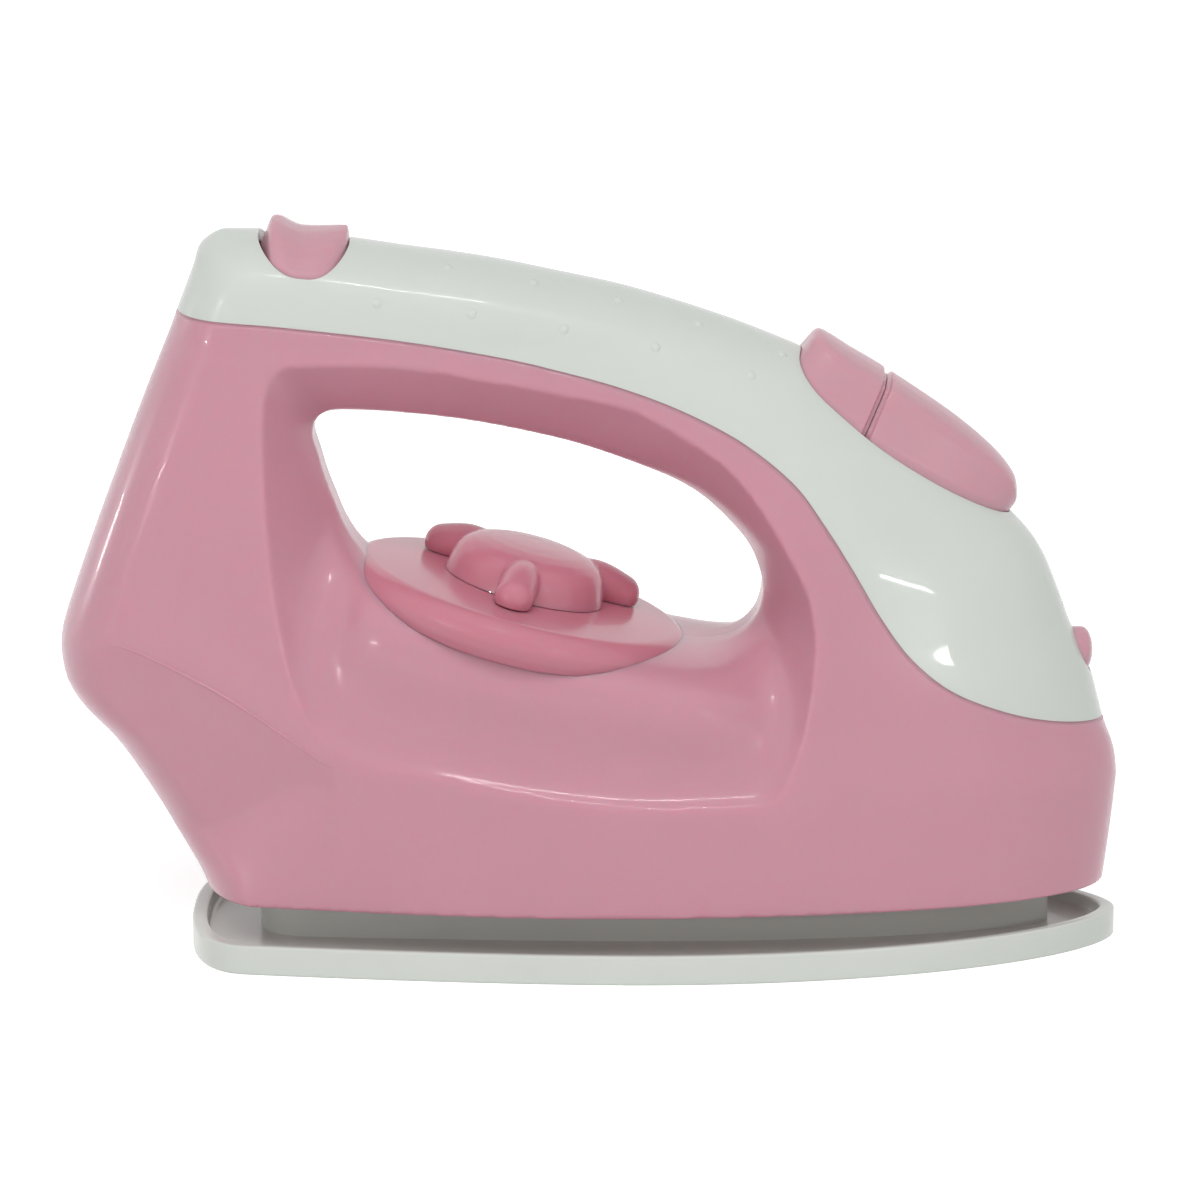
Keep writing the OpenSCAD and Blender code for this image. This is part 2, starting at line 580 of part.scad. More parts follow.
module top_cover() {
    color(white) difference() {
        intersection() {
            form(0, 28, 2, 12);
            union() {
                difference() {
                    above_seam(seam_gap);
                    form(1, 16, 1, 7);
                }
                for (m = [0, 1], t = tab_shares) mirror([0, m, 0]) tab(t*half_l);
                cover_posts();
            }
        }
        at_caps() translate([0, 0, -frame_top])
            linear_extrude(2*frame_top)
                outline(caps_rows(caps_shares[0], caps_shares[1], 16), button_gap);
        at_thumb() translate([0, 0, -thumb_deep - travel])
            linear_extrude(2*thumb_deep) outline(thumb_rows(14), button_gap);
        for (t = caps_post_shares) at_caps() translate([t*caps_l, 0, -frame_top - over])
            cylinder(h = pilot_l + over, r = screw_r + thread_gap, $fn = 16);
        for (t = thumb_post_shares) at_thumb() translate([t*thumb_l, 0, -thumb_frame_top - over])
            cylinder(h = pilot_l + over, r = screw_r + thread_gap, $fn = 16);
        nozzle_place() rotate([0, 90, 0])
            translate([0, 0, -2*nozzle_r]) cylinder(h = body_l, r = nozzle_r + fit_gap/2, $fn = 32);
    }
}

// Buttons and the frames that carry them. The front pair is one form cut by a groove.
module caps_side(m) {
    translate([groove_share*caps_l, 0, 0]) rotate([0, -groove_lean, 0])
        translate([m > 0 ? -groove_w/2 : groove_w/2 - body_l, -body_w, -body_l/2])
            cube([body_l, 2*body_w, body_l]);
}
module cap(m, tc) {
    at_caps() difference() {
        cap_solid(caps_rows(caps_shares[0], caps_shares[1], 16), caps_deep);
        caps_side(-m);
        translate([tc*caps_l, 0, 0]) stem_pocket(caps_deep);
    }
    at_caps() translate([tc*caps_l, 0, 0]) stem(frame_top);
}
module spray_button() {
    color(deep_pink) cap(-1, stem_shares[0]);
}
module steam_button() {
    color(deep_pink) cap(1, stem_shares[1]);
}
module front_button_frame() {
    color(white) at_caps() difference() {
        union() {
            frame_plate(caps_post_shares*caps_l, frame_top);
            for (t = stem_shares) translate([t*caps_l, 0, 0]) guide(frame_top);
        }
        for (t = stem_shares) translate([t*caps_l, 0, 0]) guide_bore(frame_top);
        for (t = caps_post_shares) translate([t*caps_l, 0, -frame_top - frame_t - over])
            cylinder(h = frame_t + 2*over, r = screw_r + thread_gap, $fn = 24);
    }
}
module spray_spring() {
    color(steel) at_caps() translate([stem_shares[0]*caps_l, 0, 0]) spring(frame_top);
}
module steam_spring() {
    color(steel) at_caps() translate([stem_shares[1]*caps_l, 0, 0]) spring(frame_top);
}
module thumb_button() {
    color(deep_pink) {
        at_thumb() difference() {
            cap_solid(thumb_rows(14), thumb_deep);
            stem_pocket(thumb_deep);
        }
        at_thumb() stem(thumb_frame_top);
    }
}
module thumb_button_frame() {
    color(white) at_thumb() difference() {
        union() {
            frame_plate(thumb_post_shares*thumb_l, thumb_frame_top);
            guide(thumb_frame_top);
        }
        guide_bore(thumb_frame_top);
        for (t = thumb_post_shares) translate([t*thumb_l, 0, -thumb_frame_top - frame_t - over])
            cylinder(h = frame_t + 2*over, r = screw_r + thread_gap, $fn = 24);
    }
}
module thumb_spring() {
    color(steel) at_thumb() spring(thumb_frame_top);
}
module frame_screws() {
    color(steel) {
        for (t = caps_post_shares) at_caps()
            translate([t*caps_l, 0, -frame_top - frame_t]) rotate([180, 0, 0])
                screw(frame_t + pilot_l - over);
        for (t = thumb_post_shares) at_thumb()
            translate([t*thumb_l, 0, -thumb_frame_top - frame_t]) rotate([180, 0, 0])
                screw(frame_t + pilot_l - over);
    }
}

// Dial plate: a shallow dome with a rounded edge, held by the flange of its hub
module dial_plate() {
    r = plate_d/2;
    drop = 0.08*plate_t;
    edge = 0.48*plate_t;
    low = -plate_t - hub_l;
    color(pink) at_dial() difference() {
        union() {
            rotate_extrude($fn = 96) polygon(concat([[0, -plate_t], [r, -plate_t], [r, -drop - edge]],
                [for (a = [15:15:75]) [r - edge + edge*cos(a), -drop - edge + edge*sin(a)]],
                [[r - edge, -drop], [0.72*r, -0.5*drop], [0.43*r, 0], [0, 0]]));
            translate([0, 0, low]) cylinder(h = hub_l + wall/2, r = hub_r, $fn = 64);
            translate([0, 0, low]) cylinder(h = flange_t, r = flange_r, $fn = 64);
        }
        translate([0, 0, low - over])
            cylinder(h = plate_t + hub_l + 2*over, r = stem_r + run_gap, $fn = 64);
    }
}

// Rest angle of the knob's first lobe, and how the lobes slope down
knob_angle = 24;
lobe_slope = 38;
lobe_bend_share = 1.6;
lobe_root_share = 1.06;
puck_r = 0.69*lobe_r;
// Radius and height of the puck's dome
puck_shares = [[1, 0], [0.99, 0.12], [0.965, 0.36], [0.92, 0.58], [0.85, 0.74], [0.74, 0.86],
               [0.58, 0.94], [0.32, 0.985], [0, 1]];
stem_low = plate_t + hub_l + fit_gap;

// Round-ended bar along +Z, with the centre of its round end at the origin
module bullet(r, back) {
    rotate_extrude($fn = 32) polygon(concat([[0, -back], [r, -back]],
        [for (a = [0:18:72]) [r*cos(a), r*sin(a)]], [[0, r]]));
}
// Lobe of the knob: a level bar, and a thinner one that slopes down from its end
module lobe() {
    r = lobe_w/2;
    arm = lobe_bend_share*r;
    end_z = r/6;
    bend_at = [lobe_r - r - cos(lobe_slope)*arm, end_z + sin(lobe_slope)*arm];
    translate([bend_at[0], 0, bend_at[1]]) rotate([0, 90, 0]) bullet(lobe_root_share*r, bend_at[0] - r);
    translate([lobe_r - r, 0, end_z]) rotate([0, 90 + lobe_slope, 0]) bullet(r, arm);
}
// Knob: a domed puck with three rounded lobes, on a stem through the plate
module dial_knob() {
    color(deep_pink) at_dial() difference() {
        union() {
            difference() {
                union() {
                    rotate_extrude($fn = 64) polygon(concat([[0, -over], [puck_r, -over]],
                        [for (p = puck_shares) [p[0]*puck_r, p[1]*knob_h]]));
                    for (a = [0:120:240]) rotate([0, 0, a + knob_angle]) lobe();
                }
                translate([0, 0, fit_gap - body_w]) cylinder(h = body_w, r = body_w, $fn = 24);
            }
            translate([0, 0, -stem_low]) cylinder(h = stem_low + knob_h/2, r = stem_r, $fn = 64);
        }
        translate([0, 0, -stem_low - over])
            cylinder(h = 2*hub_l, r = dial_screw_r + thread_gap, $fn = 24);
    }
}
module dial_washer() {
    color(steel) at_dial() translate([0, 0, -stem_low - washer_t]) difference() {
        cylinder(h = washer_t, r = 2*stem_r, $fn = 48);
        translate([0, 0, -over])
            cylinder(h = washer_t + 2*over, r = dial_screw_r + thread_gap, $fn = 24);
    }
}
module dial_screw() {
    color(steel) at_dial() translate([0, 0, -stem_low - washer_t]) rotate([180, 0, 0]) difference() {
        union() {
            cylinder(h = head_t, r1 = head_r + wall/2, r2 = head_r/2, $fn = 40);
            translate([0, 0, -hub_l - wall])
                cylinder(h = hub_l + wall + head_t/2, r = dial_screw_r, $fn = 24);
        }
        for (a = [0, 90]) rotate([0, 0, a])
            translate([-head_r/2, -slot_w/2, head_t/2]) cube([head_r, slot_w, head_t]);
    }
}

// Spray nozzle in the nose, with a push-on ring behind the cover's wall
nozzle_z = 0.408*body_h;
nozzle_out = 0.9;
nozzle_l = 13;
nozzle_x = lookup(nozzle_z, fronts[0]) + nozzle_out;
clip_end = 4;
ring_at = nozzle_l - clip_end;
ring_t = 1.2;
module nozzle_place() {
    translate([nozzle_x, 0, nozzle_z]) children();
}
module spray_nozzle() {
    color(deep_pink) nozzle_place() rotate([0, -90, 0]) rotate_extrude($fn = 48)
        polygon(concat([[0, nozzle_l], [0, 0]],
            [for (a = [75:-15:15]) [nozzle_r*cos(a), 0.5*nozzle_r*(1 - sin(a))]],
            [[nozzle_r, 0.5*nozzle_r], [nozzle_r, nozzle_l]]));
}
module nozzle_clip() {
    color(white) nozzle_place() rotate([0, -90, 0]) translate([0, 0, ring_at]) difference() {
        cylinder(h = ring_t, r = nozzle_r + wall, $fn = 48);
        translate([0, 0, -over])
            cylinder(h = ring_t + 2*over, r = nozzle_r + thread_gap, $fn = 48);
    }
}

// Soleplate: a rimmed tray with a raised plinth, which is hollow from below
sole_wide_share = 0.516;
sole_rear_share = 0.25;
corner_share = 0.065;
function sole_half(x, w, x0, x1) = let (l = x1 - x0, xw = x1 - sole_wide_share*l,
    front = pow(1 - pow(1 - clamp((x1 - x)/(sole_wide_share*l)), 2), 0.6),
    rear = 1 - sole_rear_share*pow(max(0, xw - x)/(l - sole_wide_share*l), 1.6),
    corner = pow(1 - pow(1 - clamp((x - x0)/(corner_share*l)), 2.5), 0.4))
    w*front*rear*corner;
module sole_outline(inset, ends) {
    x0 = half_l - sole_l + ends;
    x1 = half_l - ends;
    n = 28;
    side = [for (i = [0:n]) let (x = mix(x0, x1, spread(i, n)))
        [x, sole_half(x, sole_w/2 - inset, x0, x1)]];
    polygon(concat(side, [for (i = [n - 1:-1:1]) [side[i][0], -side[i][1]]]));
}
module soleplate() {
    plinth = plinth_inset_shares[0]*sole_w/2;
    ends = plinth_inset_shares[1]*half_l;
    color(white) difference() {
        union() {
            difference() {
                linear_extrude(rim_h) sole_outline(0, 0);
                translate([0, 0, floor_t]) linear_extrude(rim_h) sole_outline(rim_t, 1.6*rim_t);
            }
            linear_extrude(lift) sole_outline(plinth, ends);
        }
        translate([0, 0, -over]) linear_extrude(lift - wall + over)
            sole_outline(plinth + wall, ends + 2*wall);
        for (p = sole_post_places) translate([p[0], p[1], 0])
            cylinder(h = lift + over, r = screw_r + thread_gap, $fn = 24);
    }
}
module sole_screws() {
    color(steel) for (p = sole_post_places)
        translate([p[0], p[1], lift - wall]) rotate([180, 0, 0]) screw(post_l + wall/2);
}

right_housing();
left_housing();
top_cover();
soleplate();
dial_plate();
dial_knob();
dial_washer();
dial_screw();
spray_button();
steam_button();
front_button_frame();
spray_spring();
steam_spring();
thumb_button();
thumb_button_frame();
thumb_spring();
spray_nozzle();
nozzle_clip();
housing_screws();
sole_screws();
frame_screws();
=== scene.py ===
"""Looks of the toy iron: a moulded pink body, a white cover, a rimmed soleplate, a dial and three buttons."""

import math

import bmesh
import bpy
import numpy as np
from mathutils import Euler, Matrix, Vector

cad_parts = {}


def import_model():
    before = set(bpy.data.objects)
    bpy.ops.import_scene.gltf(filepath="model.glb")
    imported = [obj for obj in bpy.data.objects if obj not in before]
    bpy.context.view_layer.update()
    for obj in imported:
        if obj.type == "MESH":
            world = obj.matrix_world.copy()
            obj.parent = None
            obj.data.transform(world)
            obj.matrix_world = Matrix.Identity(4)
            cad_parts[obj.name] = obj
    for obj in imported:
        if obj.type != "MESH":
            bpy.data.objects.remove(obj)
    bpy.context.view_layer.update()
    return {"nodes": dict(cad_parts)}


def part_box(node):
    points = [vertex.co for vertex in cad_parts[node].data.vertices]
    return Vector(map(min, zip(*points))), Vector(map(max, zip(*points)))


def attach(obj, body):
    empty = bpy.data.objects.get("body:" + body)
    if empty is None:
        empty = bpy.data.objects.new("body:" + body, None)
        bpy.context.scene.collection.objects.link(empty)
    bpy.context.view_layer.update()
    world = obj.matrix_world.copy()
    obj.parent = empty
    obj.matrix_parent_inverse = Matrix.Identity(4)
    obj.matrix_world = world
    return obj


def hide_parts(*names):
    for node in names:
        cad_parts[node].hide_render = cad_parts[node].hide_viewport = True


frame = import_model()

MM = 0.001

# Sizes in millimetres, taken from the frame where it holds them
cover_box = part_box("top_cover")
sole_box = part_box("soleplate")
BODY_H = cover_box[1].z/MM
HALF_L = sole_box[1].x/MM
SOLE_L = (sole_box[1].x - sole_box[0].x)/MM
SOLE_W = (sole_box[1].y - sole_box[0].y)/MM
LIFT = sole_box[1].z/MM
HALF_W = 31
WALL = 2
SEAM_GAP = 0.4
FIT_GAP = 0.3
HANDLE_W = 28
THROAT_W = 10
OVER = 1
# What cuts the whole body reaches this many times as far as it does
BEYOND = 1.5
# Radius that stands for the axis in a turned profile
AXIS_R = 0.01

# Side view of the body, as shares of half its length and of its height
REAR_LOW = [(-0.728, 0.082), (-0.745, 0.110), (-0.783, 0.156), (-0.856, 0.243),
            (-0.905, 0.293), (-0.960, 0.335), (-0.990, 0.372), (-1.000, 0.412)]
REAR_HIGH = [(-1.000, 0.412), (-0.998, 0.438), (-0.986, 0.470), (-0.962, 0.522),
             (-0.923, 0.602), (-0.844, 0.756), (-0.787, 0.860), (-0.767, 0.900),
             (-0.742, 0.948), (-0.727, 0.980), (-0.690, 1.000)]
NOSE_LOW = [(0.976, 0.082), (0.990, 0.162), (1.000, 0.234)]
NOSE_HIGH = [(1.000, 0.234), (0.994, 0.270), (0.973, 0.312), (0.943, 0.392),
             (0.906, 0.450), (0.888, 0.487), (0.849, 0.554), (0.796, 0.602),
             (0.697, 0.664), (0.582, 0.730), (0.484, 0.788), (0.393, 0.836)]
TOP = [(0.393, 0.836), (0.281, 0.869), (0.169, 0.897), (0.057, 0.921), (-0.056, 0.939),
       (-0.168, 0.956), (-0.261, 0.967), (-0.354, 0.976), (-0.448, 0.986),
       (-0.578, 0.996), (-0.690, 1.000)]
SHOULDER = [(-1.000, 0.412), (-0.944, 0.434), (-0.873, 0.443), (-0.726, 0.399),
            (-0.633, 0.361), (-0.540, 0.316), (-0.478, 0.290), (-0.351, 0.280),
            (-0.167, 0.256), (0.093, 0.231), (0.333, 0.226), (0.567, 0.233),
            (0.811, 0.238), (1.000, 0.234)]
SEAM = [(-1.100, 0.893), (-0.760, 0.888), (-0.640, 0.883), (-0.536, 0.876),
        (-0.351, 0.860), (-0.167, 0.838), (-0.056, 0.820), (0.056, 0.798),
        (0.167, 0.768), (0.278, 0.726), (0.372, 0.672), (0.428, 0.619), (0.482, 0.557),
        (0.539, 0.486), (0.596, 0.430), (0.670, 0.385), (0.763, 0.353), (0.863, 0.330),
        (0.978, 0.314), (1.100, 0.308)]
# Depth of the rounding behind the nose and top line, by height
ROUNDING = [(0, 0.89), (0.234, 0.89), (0.49, 0.555), (0.61, 0.355), (0.72, 0.245),
            (0.775, 0.19), (0.857, 0.122), (1, 0.10)]
REAR_ROUND = 0.10
# Half width: where it is full, how it narrows to the rear, and how it draws in up the handle
FULL_WIDTH = 0.095
TAPER = 0.822
TAPER_BEND = 1.6
NARROW = 0.339
DRAFT = 0.032
HANDLE_SHARE = 0.857
HANDLE_BEND = 1.3
# Rear facet and the skirt below it: where they start, and how far they lean in
FACET = -0.478
FACET_LEAN = 0.232
SKIRT_LEAN = 0.42
LEAN_SPAN = 0.233
# Near the rear corner the wall is thicker by this share
CORNER_SPAN = 0.1
CORNER_EXTRA = 0.6
# Height at which the search for the rear facet's crease starts, and its rounds
CREASE_GUESS = 0.2
CREASE_ROUNDS = 8

# Handle opening, one row a rib: throat x and z, outer edge x and z, how much it is deck
OPENING = [(-0.519, 0.718, -0.609, 0.740, 0), (-0.513, 0.739, -0.604, 0.792, 0),
           (-0.496, 0.750, -0.579, 0.824, 0), (-0.460, 0.754, -0.537, 0.830, 0),
           (-0.357, 0.750, -0.351, 0.829, 0), (-0.244, 0.741, -0.165, 0.808, 0),
           (-0.131, 0.726, -0.045, 0.792, 0), (-0.019, 0.706, 0.079, 0.773, 0),
           (0.094, 0.677, 0.178, 0.734, 0), (0.170, 0.653, 0.260, 0.692, 0),
           (0.226, 0.625, 0.320, 0.638, 0), (0.283, 0.582, 0.370, 0.575, 0),
           (0.309, 0.551, 0.405, 0.523, 0), (0.324, 0.514, 0.420, 0.466, 0),
           (0.323, 0.488, 0.416, 0.413, 0), (0.311, 0.462, 0.406, 0.362, 0.1),
           (0.283, 0.440, 0.387, 0.307, 0.4), (0.246, 0.429, 0.340, 0.246, 0.8),
           (0.189, 0.428, 0.220, 0.237, 1), (0.060, 0.449, 0.070, 0.238, 1),
           (-0.100, 0.476, -0.110, 0.254, 1), (-0.260, 0.506, -0.290, 0.279, 1),
           (-0.390, 0.535, -0.430, 0.300, 0.9), (-0.432, 0.560, -0.510, 0.335, 0.5),
           (-0.460, 0.592, -0.548, 0.385, 0.2), (-0.480, 0.628, -0.572, 0.450, 0),
           (-0.495, 0.657, -0.590, 0.530, 0), (-0.508, 0.690, -0.604, 0.630, 0)]
# Rib curve controls: (share along, share across) for a bevel and for the deck side
BEVEL = np.array([(0.25, 0.36), (0.64, 0.68)])
DECK = np.array([(0.02, 1.55), (0.62, 0.56)])
# Least half width of the grown opening, as a share of the throat's, and how much of the growth
# moves its walls apart from the middle
THROAT_LEFT = 0.4
GROW_ASIDE = 0.8
# Least that the opening's last ring rises, which carries its tool clear of the body
LEAST_RISE = 3*0.2*WALL

# Screw posts across the body
POSTS = [(-0.722, 0.767), (-0.811, 0.473), (-0.511, 0.261), (0.222, 0.278), (0.489, 0.351),
         (0.822, 0.278)]
# Soleplate screws, as shares of its length behind the nose and of half the body's width
SOLE_POSTS = [(HALF_L - x*SOLE_L, m*y*HALF_W)
              for x, y in ((0.854, 0.20), (0.380, 0.29)) for m in (-1, 1)]
POST_R = 3
POST_L = 8
SCREW_R = 1.25
HEAD_R = 2.4
POST_SIDES = 32
SOLE_POST_SIDES = 24
HOLE_GAP = 0.05

# Dial
DIAL_TILT = math.radians(15)
DIAL_X = -0.125*HALF_L
DIAL_Z = 0.498*BODY_H
PLATE_R = 30
PLATE_T = 7.4
PLATE_EDGE = 0.48*PLATE_T
PLATE_DROP = 0.08*PLATE_T
PLATE_SIDES = 160
DOME_START = 0.4*PLATE_R
DOME_MARGIN = 0.5
DOME_RINGS = 8
# Foot of the plate's wall, which draws in under the deck
PLATE_FOOT = [(24.5, -8.7), (27, -8), (28.7, -6.9), (29.7, -5.4)]
FOOT_STEP = 1
HUB_R = 7
HUB_L = 5
FLANGE_R = 9
FLANGE_T = 2.7
STEM_R = 3
STEM_GAP = 0.06
LOBES = 3
LOBE_R = 21.5
LOBE_W = 6.6
LOBE_END = 1.5
LOBE_SLOPE = math.radians(18)
LOBE_ARM = 1.6*LOBE_W/2
LOBE_BEND_AT = 0.6
LOBE_STEPS = 8
LOBE_SIDES = 32
KNOB_H = 7.8
KNOB_GAP = 0.1
KNOB_ANGLE = 24
PUCK_R = 13.8
# Radius and height of the puck's dome
PUCK = [(1, 0), (0.99, 0.12), (0.965, 0.36), (0.92, 0.58), (0.85, 0.74), (0.74, 0.86),
        (0.58, 0.94), (0.32, 0.985), (0.001, 1)]
DIAL_SCREW_R = 1.25
PILOT_TOP = -5

# Front buttons
CAPS_SLOPE = math.radians(38)
CAPS_L = 45
CAPS_W = 22
CAPS_H = 6.5
CAPS_DEEP = 7
CAPS_ENDS = (-0.40, 0.60)
CAPS_X = 0.556*HALF_L
GROOVE_AT = -0.057*CAPS_L
GROOVE_W = 1.6
GROOVE_LEAN = math.radians(13)
# Gap between the buttons below the groove
GROOVE_GAP = 0.06
GROOVE_DEEP = 0.75
STEMS = (-0.235, 0.26)
CAPS_PLAN = [(-0.400, 0.28), (-0.393, 0.52), (-0.370, 0.70), (-0.330, 0.83),
             (-0.270, 0.92), (-0.180, 0.97), (0.000, 1.00), (0.180, 0.95),
             (0.333, 0.85), (0.440, 0.72), (0.511, 0.58), (0.560, 0.42),
             (0.588, 0.25), (0.600, 0.10)]
CAPS_CROWN = [(-0.400, 0.52), (-0.385, 0.64), (-0.330, 0.70), (-0.258, 0.74),
              (-0.110, 0.87), (0.133, 1.00), (0.289, 1.02), (0.422, 0.95), (0.511, 0.80),
              (0.556, 0.62), (0.593, 0.32), (0.600, 0.20)]
CAPS_FOOT = [(-0.400, -0.15), (-0.300, -0.38), (-0.180, -0.46), (0.100, -0.44),
             (0.300, -0.28), (0.450, -0.08), (0.600, 0.05)]
CAPS_SECTION = [(0, 0), (0.30, 0.03), (0.55, 0.10), (0.70, 0.17), (0.76, 0.26), (1, 1)]
CAPS_ROWS = 60
CAP_STEPS = 4
LEAST_HALF = 1
PIN_R = 2
PIN_SIDES = 40
SPRING_ROOM = 1.65
CAPS_STEM_L = 16.3
BUTTON_GAP = 0.15

# Thumb button
THUMB_L = 15.2
THUMB_H = 3.06
THUMB_DEEP = 8
THUMB_X = -0.533*HALF_L
THUMB_SPAN = 0.893*HANDLE_W/2
THUMB_CROWN = [(-0.500, -0.70), (-0.470, -0.30), (-0.430, 0.10), (-0.370, 0.85),
               (-0.345, 0.99), (-0.270, 0.99), (-0.200, 0.80), (-0.080, 0.50),
               (0.020, 0.42), (0.230, 0.42), (0.440, 0.47), (0.480, 0.42), (0.500, -0.30)]
THUMB_SECTION = [(0, 0), (0.30, 0.06), (0.50, 0.18), (0.70, 0.38), (0.85, 0.63), (1, 1)]
THUMB_DROP = 2.05
THUMB_BLUNT = 2.8
THUMB_ENDS = (-0.495, 0.495)
THUMB_ROWS = 44
THUMB_STEM_L = 17.3
TRAVEL = 2
THUMB_WELL = THUMB_DEEP + 1.2*TRAVEL

# Nozzle
NOZZLE_R = 3.4
NOZZLE_Z = 0.408*BODY_H
NOZZLE_OUT = 1.5
NOZZLE_HEAD_R = 3.9
NOZZLE_L = 13
NOZZLE_DOME = 0.5
NOZZLE_SIDES = 64

# Soleplate
RIM_H = 5
RIM_T = 1.6
RIM_END = 1.6*RIM_T
RIM_ROUND = 0.45
# The tray's inner corner is rounded this many times as much
INNER_ROUND = 2
FLOOR_T = 2.4
SOLE_WIDE = 0.516
SOLE_POINT = 0.6
SOLE_REAR = 0.25
SOLE_DRAW = 1.6
CORNER = 0.065
CORNER_BLUNT = 2.5
PLINTH_INSET = 0.57*SOLE_W/2
PLINTH_ENDS = 0.127*HALF_L

# Degrees between two points of a rounded edge
PLATE_STEP = 6
NOZZLE_STEP = 9
LOBE_END_STEP = 12
SOLE_STEP = 18
# Fineness: columns, rows below the shoulder and rows above it
BODY_FINE = (150, 8, 60)
LIP_FINE = (90, 4, 36)
SPACE_FINE = (40, 3, 20)
# Points between two rows of the opening, and rings across it
OPENING_FINE = (6, 26)
SPACE_OPENING_FINE = (2, 8)
# Voxel and rounds of softening
BODY_SOFT = (0.6, 6)
LIP_SOFT = (0.8, 2)
SPACE_SOFT = (1.2, 1)
CAPS_SOFT = (0.25, 4)
THUMB_SOFT = (0.28, 4)
KNOB_SOFT = (0.3, 8)
RELAX = 0.5
# Points closer than this are joined, and shorter edges are dropped
WELD = 0.0005
SLIVER = 0.0002
# Keeps a division from failing at zero
TINY = 1e-9
# Edges sharper than this many degrees stay sharp
PLAIN_ANGLE = 30
CAP_ANGLE = 40
SHELL_ANGLE = 50

# Seam between the housing and the cover
PARTING = 0.05
CHAMFER = 0.3
CHAMFER_STEPS = 260
LEAST_STEP = 0.02
# Keeps two places along the seam from being the same
NUDGE = 1e-6
SEAM_ENDS = (-0.76, 0.98)
LIP_INSET = 0.27
LIP_H = 0.46
LIP_ROOM = 0.08
LIP_HEADROOM = 0.06
CONTACT = 0.02
# Crisp top edge of the rear facet
EDGE_START = -0.9
EDGE_R = 0.3
EDGE_SINK = 0.12
EDGE_STEPS = 70
EDGE_SIDES = 10
EDGE_TIP = 0.04
# Grip bumps on the cover: (along the body, below its top line)
BUMPS = [(-35.4, 8), (-19.6, 7.6), (-4.3, 7.2), (11, 6.7), (26.9, 6.2),
         (-23.8, 1.4), (-9.35, 1.4), (4.8, 1.4), (18.2, 1.4), (32.3, 1.4)]
BUMP_R = 0.85
BUMP_H = 0.28
BUMP_RINGS = 8
BUMP_SIDES = 24

# Materials: values of the shader's own sockets, size of the clouds, spread of the roughness
PLASTIC = {"IOR": 1.5, "Specular IOR Level": 0.25, "Coat Roughness": 0.04,
           "Subsurface Scale": 3*MM}
CLOUDS = {"Scale": 28, "Detail": 4}
ROUGH_SPREAD = 0.04
# Colour sockets of a Mix node
MIX_A = 6
MIX_B = 7
# How far each colour of light spreads inside the pink plastic
PINK_SPREAD = (1, 0.22, 0.3)

# Light: the sky's strength, and bearing, rise, distance, width, height and watts of each lamp
SKY = 0.42
LAMPS = [(34, 9, 1.5, 0.22, 0.012, 0.9), (-45, 9, 1.5, 0.22, 0.03, 1.6),
         (-121, 4, 1.5, 0.08, 0.08, 0.6), (8, 57, 1.8, 0.3, 0.06, 2.0)]
FILL = (0, 50, 2.2, 1.6, 1.0, 18.5)
FLOOR_HALF = 3
FLOOR_SHADE = 0.9
FLOOR_ROUGH = 0.9
FLOOR_GLOW = 0.58

# Camera, in metres: square to the side and a little above level
CAMERA_LENS = 198.75
SENSOR_W = 36
CLIP_START = 0.05
CAMERA_RISE = math.radians(12.5)
CAMERA_AWAY = 1.1267
CAMERA_AIM = (0.0017, 0, 0.0585)


def mix(a, b, t):
    """What lies the share t of the way from a to b."""
    return a + (b - a)*t


def clamp(t):
    return np.clip(t, 0, 1)


def closing(d, a):
    """Share of the full width at a depth d, behind an edge rounded over a depth a."""
    return np.sqrt(1 - (1 - clamp(d/a))**2)


def lookup(x, line):
    """Second coordinate of a line at a first coordinate."""
    line = np.asarray(line, float)
    return np.interp(x, line[:, 0], line[:, 1])


def smooth(points, steps=12):
    """Catmull-Rom curve through the points."""
    p = np.asarray(points, float)
    q = np.vstack([p[:1], p, p[-1:]])
    out = []
    for a, b, c, d in zip(q, q[1:], q[2:], q[3:]):
        for t in np.arange(steps)/steps:
            out.append((2*b + (c - a)*t + (2*a - 5*b + 4*c - d)*t**2
                        + (3*b - a - 3*c + d)*t**3)/2)
    return np.array(out + [p[-1]])


def side_view(shares):
    return smooth(shares)*[HALF_L, BODY_H]


def shifted(p, d):
    """Moves a line square to itself, to the left of its direction."""
    i = np.arange(len(p))
    v = p[np.minimum(i + 1, len(p) - 1)] - p[np.maximum(i - 1, 0)]
    return p + d*np.stack([-v[:, 1], v[:, 0]], 1)/np.linalg.norm(v, axis=1)[:, None]


class Outline:
    """Rear, front and top lines of the side view, moved inward by an inset."""

    def __init__(self, inset):
        rear = np.vstack([side_view(REAR_LOW), side_view(REAR_HIGH)])
        nose = np.vstack([side_view(NOSE_LOW), side_view(NOSE_HIGH), side_view(TOP)])
        top = np.vstack([side_view(NOSE_HIGH), side_view(TOP)])
        self.inset = inset
        self.rear = shifted(rear, -inset)[:, ::-1]
        self.front = shifted(nose, inset)[:, ::-1]
        self.top = shifted(top, inset)[::-1]


solid_line = Outline(0)
cavity_line = Outline(WALL)
shoulder_line = side_view(SHOULDER)
seam_line = side_view(SEAM)
round_line = np.array(ROUNDING)*[BODY_H, HALF_L]


def shoulder_z(x):
    return lookup(x, shoulder_line)


def shoulder_y(x):
    return HALF_W*(1 - NARROW*(np.maximum(0, FULL_WIDTH - x/HALF_L)/TAPER)**TAPER_BEND)


def skirt_slope(x):
    """How far the skirt leans in under the rear facet, for each step down."""
    return SKIRT_LEAN*clamp((FACET - x/HALF_L)/LEAN_SPAN)**2


def skirt(x, z):
    return shoulder_y(x) - HALF_W*DRAFT - (z - LIFT)*skirt_slope(x)


def facet(x, z):
    return shoulder_y(x) - FACET_LEAN*(shoulder_z(x) - z)


